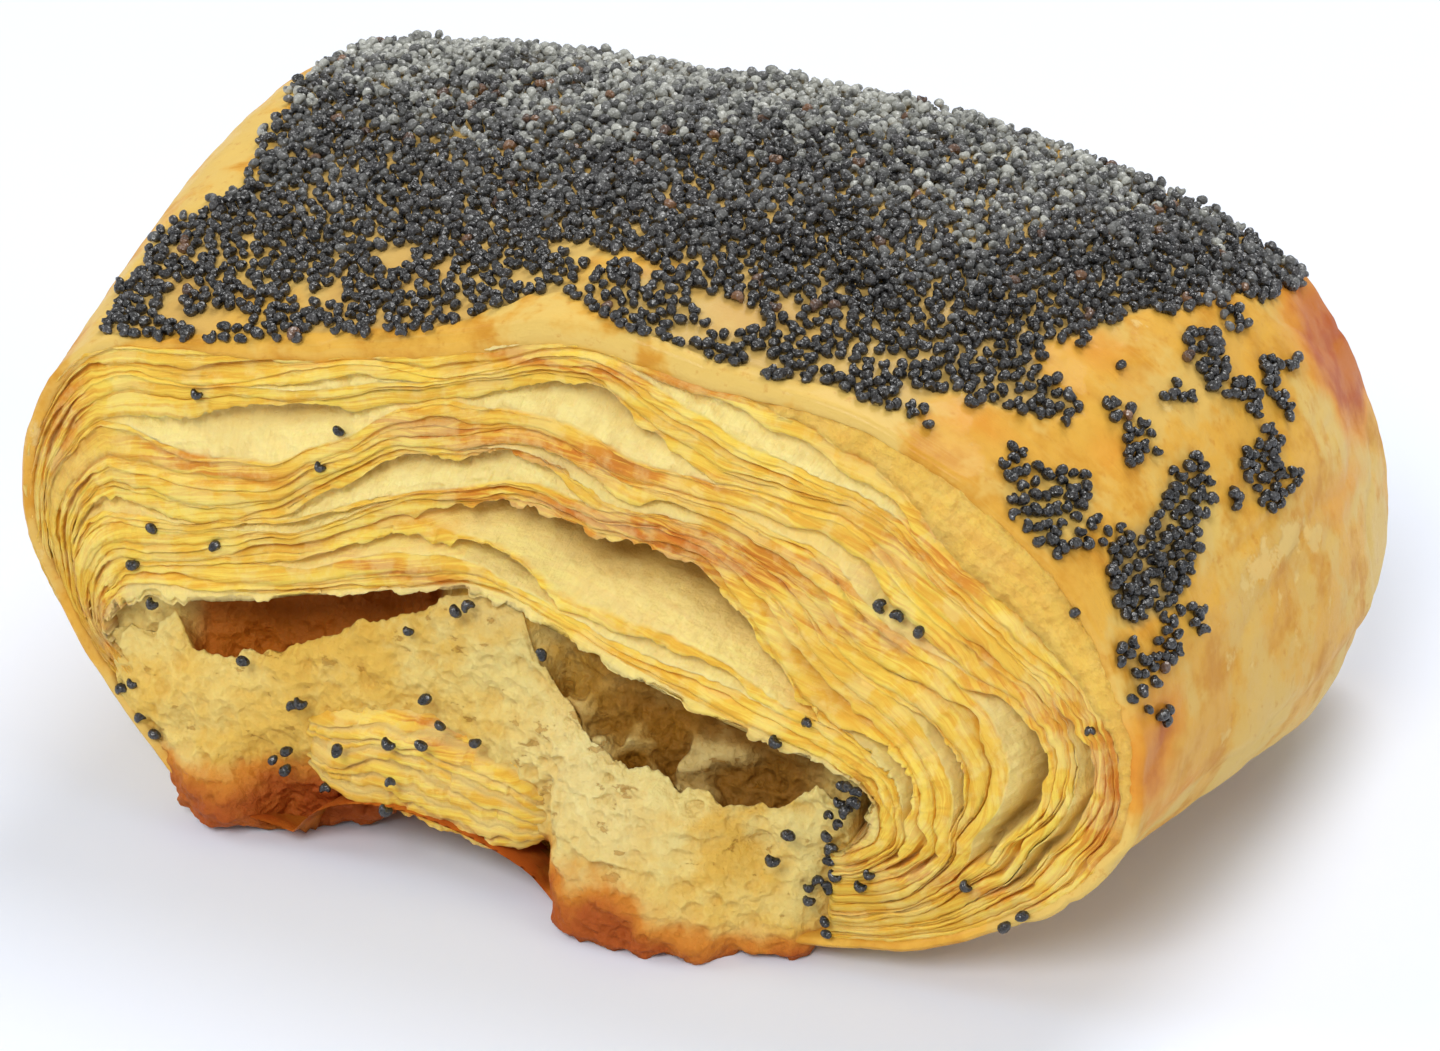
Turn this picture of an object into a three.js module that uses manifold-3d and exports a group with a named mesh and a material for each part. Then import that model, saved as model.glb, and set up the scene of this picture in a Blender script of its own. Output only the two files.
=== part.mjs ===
// A poppy seed danish: a slab of laminated dough folded over on itself, cut at both ends, so that
// each end face shows its stacked sheets, with a torn crumb hanging below them at the front.
// Millimetres, +Z up. The cut end that shows faces -Y and the folded edge faces +X.

import * as THREE from 'three';
import { mergeVertices } from 'three/addons/utils/BufferGeometryUtils.js';
import Module from 'manifold-3d';

// Driving dimensions: the outlines of the two end faces, as x and z, anticlockwise seen from the back
const FRONT_OUTLINE = [
  [0, 0], [-20, 0], [-31, 0.5], [-38.5, 6], [-45, 14], [-49, 23.5], [-47.5, 32.5], [-42, 38.5],
  [-30, 40.5], [-14, 44], [-4, 46.5], [8, 45], [22, 42.5], [33, 36.5], [40, 28], [42.5, 20],
  [41, 12.5], [36, 7], [27, 3], [15, 1],
];
const BACK_OUTLINE = [
  [0, 0], [-22, 0], [-34, 1.5], [-42, 8], [-47, 17], [-49.5, 27], [-49.5, 36], [-45.5, 42],
  [-34, 43.8], [-18, 45], [-3, 45.8], [11, 44.8], [26, 42], [37.5, 37], [44, 28.5], [46.5, 19.5],
  [46.5, 10.5], [42, 4], [30, 0.5], [14, 0],
];
// Where the innermost sheet runs on each face, point for point inside the outline
const FRONT_CORE = [
  [-4, 8], [-20, 10], [-33, 10], [-37, 11], [-40.5, 13.5], [-41.4, 15.2], [-40.6, 16.7], [-38.1, 17.8],
  [-30.3, 19.2], [-18.4, 22.5], [-10.2, 24], [-2.8, 22], [5.7, 18.8], [14, 16.8], [19.1, 15.8],
  [21.5, 14.4], [21.4, 12.1], [20.5, 10.5], [18, 9], [9, 8],
];
const BACK_CORE = [
  [-2, 11], [-16, 11], [-26, 12], [-31, 14], [-33.5, 17], [-34, 20], [-33, 23], [-29.5, 25],
  [-22, 26], [-12, 26.4], [-1, 26], [9, 25], [18, 23.5], [25, 21.5], [28.5, 19], [29.5, 16],
  [28.5, 13.5], [25, 12], [18, 11.5], [9, 11],
];
const DEPTH = 62;             // cut face to cut face, on the centre line
const FACE_Y = -27;           // foot of the front face
const FRONT_LEAN = 0.12;      // how far the front face leans back for each mm of height
const BACK_LEAN = 0.06;       // the same for the back face, leaning forwards
const SKEW = 0.06;            // the back face turns towards the folded side
const SIDE_SWELL = 0.03;      // how much wider the loaf is halfway along
const LOW_SWELL = 0.085;      // extra swell low down on the folded side
const TOP_SWELL = 0.06;       // how much the loaf has risen halfway along
const SHEETS = 9;             // sheets that show as edges on the front face
const BACK_SHEETS = 5;
const GROOVE = 1.5;           // how far the gap between two sheets lies behind their edges
const FACE_POCKET = 3.5;      // how far the crumb lies behind the front face
const BACK_POCKET = 2.2;      // the same behind the back face, where the crumb is whole
const CRUMB_BACK_Y = -12;     // how far in the torn crumb is built, hidden behind its front
const CRUMB_BACK_RISE = 0.8;  // its underside climbs by this much towards the back
const CRUMB_COLUMNS = 34;
const CRUMB_ROWS = 6;
const SEED = [0.62, 0.5, 0.4];    // half length, half width and half height of a seed
const SEED_SUNK = 0.12;       // how deep a seed's middle lies under the crust
const SEED_COUNT = 160;
const ORIGIN = [-1.2, 2.6];   // x and y of the middle of the loaf's box, which becomes the origin

const AROUND = 52;            // points round a ring
const STATIONS = 10;          // rings along the loaf
const DOUGH = new THREE.MeshStandardMaterial({ color: 0xe0ad4e, roughness: 0.55, metalness: 0 });

const { clamp, lerp, smoothstep } = THREE.MathUtils;
const bump = (x, z, [cx, cz, rx, rz]) => Math.exp(-(((x - cx) / rx) ** 2) - ((z - cz) / rz) ** 2);

// A smooth closed outline through its corner points, as COUNT points of [x, z]
function ringThrough(corners, count) {
  const points = corners.map(([x, z]) => new THREE.Vector3(x, 0, z));
  const curve = new THREE.CatmullRomCurve3(points, true, 'catmullrom', 0.5);
  return Array.from({ length: count }, (_, i) => {
    const point = curve.getPoint(i / count);
    return [point.x, Math.max(point.z, 0)];
  });
}

// Slow uneven waves, between -1 and 1, so that no sheet or lump is regular
function waves(a, b, phase) {
  return 0.5 * Math.sin(1.9 * a + 2.3 * b + phase) + 0.3 * Math.sin(4.3 * a - 3.1 * b + 2.1 * phase)
    + 0.2 * Math.sin(9.7 * a + 7.9 * b + 3.7 * phase);
}

const frontRing = ringThrough(FRONT_OUTLINE, AROUND);
const backRing = ringThrough(BACK_OUTLINE, AROUND);
const frontCore = ringThrough(FRONT_CORE, AROUND);
const backCore = ringThrough(BACK_CORE, AROUND);

// A point of the crust: ring position i (0 to AROUND, also between points), along from 0 to 1
function crustPoint(i, along) {
  const lower = Math.floor(i) % AROUND;
  const upper = (lower + 1) % AROUND;
  const part = i - Math.floor(i);
  const mix = smoothstep(along, 0, 0.9);
  const swell = Math.sin(Math.PI * along);
  let [x, z] = [0, 1].map((axis) => lerp(
    lerp(frontRing[lower][axis], frontRing[upper][axis], part),
    lerp(backRing[lower][axis], backRing[upper][axis], part), mix));
  const low = x > 0 ? clamp(1 - z / 22, 0, 1) : 0;
  x *= 1 + (SIDE_SWELL + LOW_SWELL * low) * swell;
  z *= 1 + (TOP_SWELL + 0.02 * clamp((10 - x) / 50, 0, 1)) * swell;
  const y = FACE_Y + FRONT_LEAN * z * (1 - along) + along * (DEPTH - SKEW * x) - BACK_LEAN * z * along;
  return new THREE.Vector3(x, y, z);
}

// Hollows of the front face where two sheets stand apart: x, z, half width, half height and depth
const HOLLOWS = [
  [[-2, 39, 7, 1.5], 1.4], [[14, 40.2, 6, 1.2], 1.2], [[18, 36.5, 9, 1.6], 1.2],
  [[-27, 33, 8, 1.8], 1], [[-18, 29.5, 8, 1.7], 1.2], [[-9, 28, 3.5, 1.5], 2.5],
  [[8, 24.6, 12, 2.4], 3.4], [[31, 19, 2, 6], 1.6],
];

// The lower edge of the torn crumb, over both baked feet and the arch between them, and its upper
// edge, which falls short of the sheets at two cavities
const CRUMB_FOOT = [
  [-40.5, 11], [-37, 4.5], [-33.5, 0], [-27.5, 0], [-25, 2.5], [-23.5, 6.2], [-18.5, 5.6],
  [-14, 4.2], [-6.5, 3.2], [-3.2, 3.6], [-1.9, 0], [18, 0], [19.8, 3.4], [20.8, 9.5],
];
const CRUMB_TOP = [
  [-40.5, 12.5], [-33.5, 14.6], [-26.5, 16.6], [-19, 19.4], [-12.5, 21.2], [-9.5, 24.6], [-6, 24.4],
  [-2.5, 21.8], [3, 18.6], [5.7, 16.4], [8.7, 13.6], [13, 12], [16, 14], [20.8, 12.5],
];
// Where the crumb stands forward: x, z, half width, half height and how far
const BULGES = [
  [[4, 0.5, 7.5, 9], 5.2], [[12, 2, 5, 5], 1.2], [[-31.5, 4.5, 5, 4], 1.4], [[-31, 11, 7, 3], 0.9],
  [[-1, 15, 5, 6], 1],
];
// The arch under the front edge and the slit between two sheets: middle, half sizes and tilt
const ARCH = [[-14, -28, 0.4], [11, 12, 5.6], -0.12];
const SLIT = [[6, -22.8, 27.2], [8, 4.5, 1.1], -0.2];

// One ring of the front face, part of the way from the outline to the innermost sheet
function frontFaceRing(inward, groove) {
  return frontRing.map(([x0, z0], i) => {
    const x = lerp(x0, frontCore[i][0], inward);
    const z = lerp(z0, frontCore[i][1], inward);
    const around = (2 * Math.PI * i) / AROUND;
    let depth = groove * GROOVE * (1 + 0.5 * waves(around * 2, inward * 7, 0.4));
    depth += 0.45 * inward * (1 + waves(around * 3, inward * 9, 1.7));
    for (const [place, deep] of HOLLOWS) depth += deep * bump(x, z, place);
    return new THREE.Vector3(x, FACE_Y + FRONT_LEAN * z + depth, z);
  });
}

function backFaceRing(inward, groove) {
  return backRing.map(([x0, z0], i) => {
    const x = lerp(x0, backCore[i][0], inward);
    const z = lerp(z0, backCore[i][1], inward);
    const around = (2 * Math.PI * i) / AROUND;
    const depth = groove * GROOVE * (1 + 0.5 * waves(around * 2, inward * 5, 2.9))
      + 0.6 * inward * (1 + waves(around * 3, inward * 6, 0.9));
    const y = FACE_Y + DEPTH - SKEW * x - BACK_LEAN * z - depth;
    return new THREE.Vector3(x, y, z);
  });
}

// The rings of a face from its rim inwards: each sheet is an edge, then a groove behind it
function faceRings(sheets, faceRing, pocket) {
  const rings = [];
  for (let sheet = 0; sheet < sheets; sheet += 1) {
    if (sheet > 0) rings.push(faceRing(sheet / sheets, 0));
    rings.push(faceRing((sheet + 0.55) / sheets, 1));
  }
  rings.push(faceRing(1, 0), faceRing(1, pocket / GROOVE));
  return rings;
}

// A closed skin over a list of rings, with a fan of triangles over the first and the last
function skin(rings) {
  const count = rings[0].length;
  const centre = (ring) => ring.reduce((sum, p) => sum.add(p), new THREE.Vector3()).divideScalar(count);
  const firstHub = centre(rings[0]);
  const lastHub = centre(rings.at(-1));
  const points = [...rings.flat(), firstHub, lastHub];
  const hub = rings.length * count;
  const index = [];
  rings.forEach((_, row) => {
    for (let i = 0; i < count; i += 1) {
      const next = (i + 1) % count;
      const [a, b] = [row * count + i, row * count + next];
      if (row === 0) index.push(hub, b, a);
      if (row === rings.length - 1) index.push(hub + 1, a, b);
      else index.push(a, b + count, a + count, a, b, b + count);
    }
  });
  const geometry = new THREE.BufferGeometry().setFromPoints(points);
  geometry.setIndex(index);
  return geometry;
}

const wasm = await Module();
wasm.setup();

// A solid for cutting and joining, from any closed geometry
function solidOf(geometry) {
  const bare = geometry.clone();
  bare.deleteAttribute('normal');
  bare.deleteAttribute('uv');
  const merged = mergeVertices(bare, 1e-5);
  const mesh = new wasm.Mesh({
    numProp: 3,
    vertProperties: new Float32Array(merged.attributes.position.array),
    triVerts: new Uint32Array(merged.index.array),
  });
  mesh.merge();
  return new wasm.Manifold(mesh);
}

function geometryOf(solid) {
  const mesh = solid.getMesh();
  const geometry = new THREE.BufferGeometry();
  geometry.setAttribute('position', new THREE.BufferAttribute(mesh.vertProperties, 3));
  geometry.setIndex(new THREE.BufferAttribute(mesh.triVerts, 1));
  return geometry;
}

// The laminated loaf with the relief of both cut faces
function loaf() {
  const walls = [];
  for (let station = 0; station <= STATIONS; station += 1) {
    const ring = [];
    for (let i = 0; i < AROUND; i += 1) ring.push(crustPoint(i, station / STATIONS));
    walls.push(ring);
  }
  const front = faceRings(SHEETS, frontFaceRing, FACE_POCKET).reverse();
  const back = faceRings(BACK_SHEETS, backFaceRing, BACK_POCKET);
  return solidOf(skin([...front, ...walls, ...back]));
}

// The height of an edge line at x, by straight steps between its corners
function heightAt(edge, x) {
  const next = edge.findIndex(([corner]) => corner >= x);
  if (next <= 0) return edge.at(next)[1];
  const [x0, z0] = edge[next - 1];
  const [x1, z1] = edge[next];
  return z0 + ((z1 - z0) * (x - x0)) / (x1 - x0);
}

// The torn crumb below the sheets, as a row of upright rings from the left curl to the right one
function crumb() {
  const [left, right] = [CRUMB_TOP[0][0], CRUMB_TOP.at(-1)[0]];
  const rings = [];
  for (let column = 0; column <= CRUMB_COLUMNS; column += 1) {
    const x = lerp(left, right, column / CRUMB_COLUMNS);
    const [low, high] = [heightAt(CRUMB_FOOT, x), heightAt(CRUMB_TOP, x)];
    const ring = [
      new THREE.Vector3(x, CRUMB_BACK_Y, high), new THREE.Vector3(x, CRUMB_BACK_Y, low + CRUMB_BACK_RISE),
    ];
    for (let row = 0; row <= CRUMB_ROWS; row += 1) {
      const z = lerp(low, high, row / CRUMB_ROWS);
      let forward = 0.9 * waves(0.55 * x, 0.6 * z, 1.1) - 0.8 * (row === 0 || row === CRUMB_ROWS);
      for (const [place, far] of BULGES) forward += far * bump(x, z, place);
      ring.push(new THREE.Vector3(x, FACE_Y + FRONT_LEAN * z - forward, z));
    }
    rings.push(ring);
  }
  return solidOf(skin(rings.reverse()));
}

// What is torn or baked away: a ball pulled to its half sizes, tilted and dented by the waves
function hollow([x, y, z], [rx, ry, rz], tilt) {
  const geometry = new THREE.IcosahedronGeometry(1, 1);
  const place = geometry.attributes.position;
  const point = new THREE.Vector3();
  for (let i = 0; i < place.count; i += 1) {
    point.fromBufferAttribute(place, i);
    point.multiplyScalar(1 + 0.13 * waves(2.2 * point.x + point.y, 2.2 * point.z, x));
    place.setXYZ(i, point.x * rx, point.y * ry, point.z * rz);
  }
  geometry.rotateY(-tilt);
  geometry.translate(x, y, z);
  return solidOf(geometry);
}

// A seed lies flat on the crust, half sunk in its glaze
function seedAt(i, along, turn) {
  const step = 0.05;
  const place = crustPoint(i, along);
  const sideways = crustPoint(i + step, along).sub(place);
  const lengthways = crustPoint(i, Math.min(along + step / 5, 1)).sub(place);
  const up = sideways.cross(lengthways).normalize();
  if (up.z < 0) up.negate();
  const ahead = new THREE.Vector3(Math.cos(turn), Math.sin(turn), 0).projectOnPlane(up).normalize();
  const frame = new THREE.Matrix4().makeBasis(ahead, up.clone().cross(ahead), up);
  const geometry = new THREE.IcosahedronGeometry(1, 0);
  geometry.scale(...SEED);
  geometry.applyMatrix4(frame);
  place.addScaledVector(up, SEED[2] - SEED_SUNK - 0.1);
  geometry.translate(place.x, place.y, place.z);
  return solidOf(geometry);
}

// Whether seeds lie thick here: over the top, and in a tongue down the folded side at the front
function isSeeded({ x, y, z }) {
  const frontEdge = FACE_Y + 5.5 + 0.16 * Math.max(x, 0);
  const onTop = x > -46 && x < 27 + 0.35 * (y + 20) && z > 36 && y > frontEdge;
  const tongue = z > 25 && x > 30 && y < 25 && y > -24 + 0.5 * (43 - x)
    && y - 0.9 * (z - 40) < 24;
  return onTop || tongue;
}

// Seeds spread evenly by a two-dimensional golden-ratio sequence
function seeds() {
  const golden = 1.32471795724474602596;
  const solids = [];
  for (let n = 1; solids.length < SEED_COUNT; n += 1) {
    const i = AROUND * (0.3 + 0.45 * ((n / golden) % 1));
    const along = 0.02 + 0.95 * ((n / (golden * golden)) % 1);
    if (isSeeded(crustPoint(i, along))) solids.push(seedAt(i, along, 2.4 * n));
  }
  return solids;
}

function pastry() {
  const cut = loaf().subtract(hollow(...ARCH)).subtract(hollow(...SLIT));
  const whole = wasm.Manifold.union([cut, crumb(), ...seeds()]);
  const pieces = whole.decompose().sort((a, b) => b.volume() - a.volume());
  const geometry = geometryOf(pieces[0]);
  geometry.translate(-ORIGIN[0], -ORIGIN[1], 0);
  geometry.computeVertexNormals();
  const mesh = new THREE.Mesh(geometry, DOUGH);
  mesh.name = 'pastry';
  return mesh;
}

const danish = new THREE.Group();
danish.add(pastry());

export default danish;
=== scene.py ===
import math

import bmesh
import bpy
import numpy as np
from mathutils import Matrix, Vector


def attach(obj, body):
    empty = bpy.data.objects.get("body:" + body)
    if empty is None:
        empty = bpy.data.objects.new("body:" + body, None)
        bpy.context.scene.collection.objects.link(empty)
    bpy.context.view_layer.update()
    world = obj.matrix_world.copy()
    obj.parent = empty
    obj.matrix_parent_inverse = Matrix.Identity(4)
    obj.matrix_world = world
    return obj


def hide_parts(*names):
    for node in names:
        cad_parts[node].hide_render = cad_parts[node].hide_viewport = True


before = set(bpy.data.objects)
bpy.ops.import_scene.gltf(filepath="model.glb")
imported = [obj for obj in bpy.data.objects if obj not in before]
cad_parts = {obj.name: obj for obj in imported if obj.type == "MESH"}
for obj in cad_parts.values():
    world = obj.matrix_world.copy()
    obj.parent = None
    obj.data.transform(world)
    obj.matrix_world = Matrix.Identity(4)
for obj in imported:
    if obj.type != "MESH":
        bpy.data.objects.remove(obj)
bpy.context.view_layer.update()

# Sizes of the pastry, in millimetres, in the plan the dough is laid out on: the cut face that
# shows looks towards -Y, the folded edge towards +X, and the plan's own origin lies at ORIGIN
MM = 0.001
ORIGIN = (-1.2, 2.6)
FRONT_OUTLINE = [
    (0, 0), (-20, 0), (-31, 0.5), (-38.5, 6), (-45, 14), (-49, 23.5), (-47.5, 32.5), (-42, 38.5),
    (-30, 40.5), (-14, 44), (-4, 46.5), (8, 45), (22, 42.5), (33, 36.5), (40, 28), (42.5, 20),
    (41, 12.5), (36, 7), (27, 3), (15, 1),
]
BACK_OUTLINE = [
    (0, 0), (-22, 0), (-34, 1.5), (-42, 8), (-47, 17), (-49.5, 27), (-49.5, 36), (-45.5, 42),
    (-34, 43.8), (-18, 45), (-3, 45.8), (11, 44.8), (26, 42), (37.5, 37), (44, 28.5), (46.5, 19.5),
    (46.5, 10.5), (42, 4), (30, 0.5), (14, 0),
]
FRONT_CORE = [
    (-4, 8), (-20, 10), (-33, 10), (-37, 11), (-40.5, 13.5), (-41.4, 15.2), (-40.6, 16.7), (-38.1, 17.8),
    (-30.3, 19.2), (-18.4, 22.5), (-10.2, 24), (-2.8, 22), (5.7, 18.8), (14, 16.8), (19.1, 15.8),
    (21.5, 14.4), (21.4, 12.1), (20.5, 10.5), (18, 9), (9, 8),
]
BACK_CORE = [
    (-2, 11), (-16, 11), (-26, 12), (-31, 14), (-33.5, 17), (-34, 20), (-33, 23), (-29.5, 25),
    (-22, 26), (-12, 26.4), (-1, 26), (9, 25), (18, 23.5), (25, 21.5), (28.5, 19), (29.5, 16),
    (28.5, 13.5), (25, 12), (18, 11.5), (9, 11),
]
DEPTH = 62
FACE_Y = -27
FRONT_LEAN = 0.12
BACK_LEAN = 0.06
SKEW = 0.06
SIDE_SWELL = 0.03
LOW_SWELL = 0.085
TOP_SWELL = 0.06

SEED_LENGTH = 1.14
CRUST_UNDER_SEEDS = 1.06  # how far the crust lies below the seeds' middles
LIP_ROUND = (0.5, 1.5)  # radius of the crust's rim round a cut face: at the sides, and along the top
LIP_THICK = (0.7, 1.1)
SHEETS_BEGIN = 0.45  # how far inside the crust's skin the outermost sheet begins
POCKET = 8.5  # how far behind a cut face the sheets end

# The torn crumb, as x and z of the cut face: its lower edge over the feet and the arch, the lip
# where it breaks off, and the roof that the sheets make over it, with two hollows in between
CRUMB_FOOT = [
    (-42.3, 12), (-40.5, 9.5), (-38.4, 5.2), (-36, 1), (-34, 0), (-26.6, 0), (-20.4, 0.2), (-18.4, 1.4),
    (-17.6, 4.9), (-14, 4.6), (-8, 3.6), (-3.6, 4.4), (-2.5, 2.2), (-1.7, 0), (17.5, 0), (19.4, 3.2),
    (20.8, 9.5),
]
CRUMB_LIP = [
    (-42.3, 14), (-40.5, 15), (-38, 15.6), (-35.6, 16.4), (-34, 14.4), (-28, 15), (-24, 16.9), (-20, 19.3),
    (-16, 20.8), (-13.5, 22.2), (-9.5, 24.6), (-6.4, 23.4), (-4.8, 19.2), (-3.4, 17.2), (-1.8, 16.2),
    (0, 14.4), (3, 13), (10, 11.6), (15, 12), (17.4, 14), (20.8, 12.5),
]
CRUMB_ROOF = [
    (-42.3, 16.5), (-40.5, 17.4), (-36, 18.6), (-32.5, 19.8), (-29, 21.3), (-24, 22), (-19, 23.6), (-13, 25),
    (-9, 25.6), (-6, 25.2), (-2, 22.6), (2, 20.6), (6, 19.6), (9, 19), (13, 18), (18, 16.8), (20.8, 15),
]
HOLLOW_DEPTH = [
    (-42.3, 1), (-36, 1.5), (-34, 4), (-30, 7), (-20, 7), (-15, 4), (-12.5, 0.9), (-6.5, 0.6),
    (-5, 2.4), (-2, 3), (4, 4.4), (12, 5), (17, 3), (20.8, 1),
]
CRUMB_BACK_Y = -13
# How far out to the left the crumb may reach behind the face, as z and x, to stay within the crust
CRUMB_WITHIN = [(0, -26), (1.5, -30), (4, -33.5), (8, -38), (12, -40.5), (16, -43), (20, -44.5)]
# How far its foot stands forward of the face, as x and millimetres
FOOT_FORWARD = [
    (-42.3, -5), (-39.7, -4.2), (-37.5, -2.2), (-35.7, -0.6), (-33.5, 0.8), (-31.5, 1.1), (-29.6, 0.7),
    (-28.4, 0.1), (-27.4, -1.4), (-26.6, -2.4), (-22.9, -2.2), (-20, -3), (-17.6, -3), (-15, -1),
    (-3.4, -0.4), (-2.4, 2.6), (-1.7, 3.9), (-0.2, 4.7), (3.4, 5.4), (7.2, 4.9), (10.7, 3.8), (13, 2.2),
    (16.7, 1.1), (18.7, -1), (20.8, -2),
]
# Where the crumb stands forward or back: x, z, half width, half height and millimetres forward
BULGES = [
    (-31.8, 4.6, 4.8, 3.6, 1.8), (-32, 11, 7, 3, 1.1), (-1, 13, 4, 5, 1.5), (2, 8, 4, 3, 0.4),
    (-10, 20, 4, 3, 0.4), (-36.5, 9, 2.4, 3, 0.6), (-15.5, 7.5, 10, 4.4, -1.3), (13.6, 8.6, 1.6, 1.3, -1),
    (8.6, 5.6, 1.1, 0.7, -0.7), (4.5, 1.2, 1.2, 2.4, -0.8), (12, 1, 1, 2, -0.8),
    (-28.4, 6.6, 1.4, 1.6, -0.8), (-34.4, 8.4, 2.4, 1.0, -0.7), (-3.8, 16.6, 1.6, 1.6, -1.0),
    (8.5, 9.8, 2.2, 1.2, 0.8),
]
CRUMB_FOREMOST = -31.85
# Where it is buttery and where it is whitest: x, z, half width, half height and amount
BUTTERY = [(-15, 12, 12, 5, 1), (-33, 11, 9, 6, 1), (11, 3, 9, 4, 1)]
WHITENED = [(-1, 13, 5, 6, 1), (4, 9, 4, 3, 0.7), (-9, 23, 4, 2, 0.6)]
# How high the brown of the tray reaches, as x and z
BAKED_TO = [
    (-37, 7.6), (-34, 7), (-27, 6.6), (-24, 7), (-18, 6), (-4, 5.4), (3, 5.6), (9, 4.2), (13, 3),
    (20, 2.6),
]
ARCH_MIDDLE = (-14, -28)
ARCH_HALF = (11, 12)
ARCH_RISE = 5.6
ARCH_TILT = -0.12
SIDE_ARCH = (-33, -28.5, 12, 5, 2.3)  # a shallow one behind the left foot: middle, half sizes, rise

# Where two sheets of the front face stand apart: x and z of the middle, half length along the
# sheets, how wide it gapes, how deep it goes, and how pale the web of dough across it is
LENSES = [
    (-9, 43.2, 11, 1.5, 0.6, 1), (13, 41.4, 13, 2.2, 0.8, 1), (-1, 39.3, 13, 3.6, 1.1, 1),
    (-28, 34.3, 15, 4.0, 1.0, 0.95), (-22, 37.8, 9, 1.5, 0.6, 0.9), (-14, 31.4, 17, 3.4, 1.1, 1),
    (2.5, 26.2, 22, 5.8, 5.8, 0.8), (-6.5, 28.6, 6, 1.3, 4.0, 0.9), (32.8, 17.5, 10, 2.2, 2.8, 0.9),
    (29.4, 19, 9, 1.3, 1.8, 0.8), (-18, 25.4, 15, 0.9, 1.0, 0.6), (36.6, 15, 10, 1.1, 1.4, 0.6),
    (25.2, 18, 9, 1.1, 1.4, 0.7), (6, 22.5, 13, 1.3, 0.9, 0.9), (20, 31.5, 14, 1.0, 0.8, 0.7),
    (-41, 27, 10, 1.2, 0.7, 0.6), (-2, 34.5, 12, 1.0, 0.7, 0.8), (-24, 28.4, 10, 1.0, 0.7, 0.9),
]
BACK_LENSES = [
    (-20, 38, 14, 2.2, 1.2, 0.9), (16, 38.5, 12, 1.8, 1.0, 0.9), (-2, 34, 16, 2.4, 1.4, 0.9),
    (28, 30, 10, 1.6, 1.2, 0.8), (-36, 32, 10, 1.8, 1.2, 0.8), (4, 29.5, 12, 1.2, 0.9, 0.9),
    (-38, 12, 10, 1.4, 0.9, 0.7), (38, 14, 10, 1.6, 1.0, 0.7), (10, 7, 14, 1.4, 0.9, 0.8),
    (-16, 42.5, 12, 1.0, 0.6, 0.8), (-14, 5, 12, 1.2, 0.8, 0.8),
]
# Where a single layer is thick and spongy: x, z, half length and extra width
THICK_LAYERS = [(24, 39, 16, 1.7), (33.5, 33, 13, 2.0), (39, 24.5, 12, 1.1), (-44.6, 26, 12, 0.7)]
BACK_THICK_LAYERS = [(-8, 42, 16, 1.2)]
# Browner places of the cut faces: x, z, half length, half height and how brown
TOASTED_FACE = [
    (9, 30.4, 10, 1.5, 1), (-6, 36, 14, 1.2, 0.8), (40.6, 18, 2.6, 8, 1), (-40, 15.5, 2.4, 2.4, 0.8),
    (-17, 24.6, 9, 0.8, 0.5), (28, 34, 8, 3, 0.5), (-45, 31, 3, 6, 0.45), (2, 42.9, 16, 0.6, 0.6),
    (-24, 2, 7, 3.4, 1.3), (0, 0, 40, 1.3, 1), (20.5, 13, 1.5, 3, 0.6), (33, 24, 6, 3, 0.35),
    (-33, 30, 7, 1.2, 0.5), (22, 27, 8, 1.2, 0.5), (27, 9, 8, 1, 0.4), (1, 31.5, 12, 1.2, 0.9),
]
TOASTED_BACK = [
    (-10, 40, 14, 1.2, 0.7), (14, 33, 12, 1.4, 0.7), (-44, 26, 3, 8, 0.7), (44, 20, 3, 8, 0.9),
    (0, 1.5, 36, 1.4, 0.9), (-26, 33, 9, 1.2, 0.6), (30, 38, 8, 1.2, 0.6), (-30, 8, 9, 1.6, 0.5),
]
# Browner places of the crust, in the same way but on its own map of around and along
BROWNED_CRUST = [
    (0.685, 0.93, 0.036, 0.17, 1.4), (0.745, 0.04, 0.034, 0.12, 0.8), (0.612, 0.1, 0.024, 0.1, 0.5),
    (0.625, 0.38, 0.016, 0.1, 0.55), (0.65, 0.24, 0.014, 0.06, 0.45), (0.79, 0.14, 0.03, 0.16, 0.6),
    (0.33, 0.72, 0.02, 0.2, 0.4), (0.3, 0.1, 0.04, 0.1, 0.35), (0.73, 0.75, 0.02, 0.16, 0.5),
    (0.26, 0.4, 0.03, 0.3, 0.4), (0.7, 0.3, 0.02, 0.08, 0.3),
]

# How many sheets each cut face has from its rim to its core
FRONT_SHEETS = 20
BACK_SHEETS = 16


def smooth(value, low, high):
    """0 below low and 1 above high, with an even bend between."""
    part = np.clip((value - low) / (high - low), 0, 1)
    return part * part * (3 - 2 * part)


def plateau(value, begins, full, fades, gone):
    """1 from full to fades, and 0 before it begins and when it is gone."""
    return smooth(value, begins, full) * (1 - smooth(value, fades, gone))


def mound(x, y, place):
    """1 in the middle of a place and 0 well outside. A place is its middle, half width, half height
    and, for mounds, its amount."""
    return np.exp(-(((x - place[0]) / place[2]) ** 2) - ((y - place[1]) / place[3]) ** 2)


def mounds(x, y, places):
    """The mound of each place, times its amount."""
    return np.array([place[4] * mound(x, y, place) for place in places])


def read_off(value, line):
    """The height at each value of a line given by its points."""
    return np.interp(value, *np.array(line).T)


# Uneven textures worked out from a fixed table of random numbers, the same on every run
LATTICE_SIDE = 64
LATTICE = np.random.default_rng(11).random((LATTICE_SIDE,) * 3)
SCATTER = np.random.default_rng(12).random((LATTICE_SIDE,) * 3 + (3,))


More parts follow.
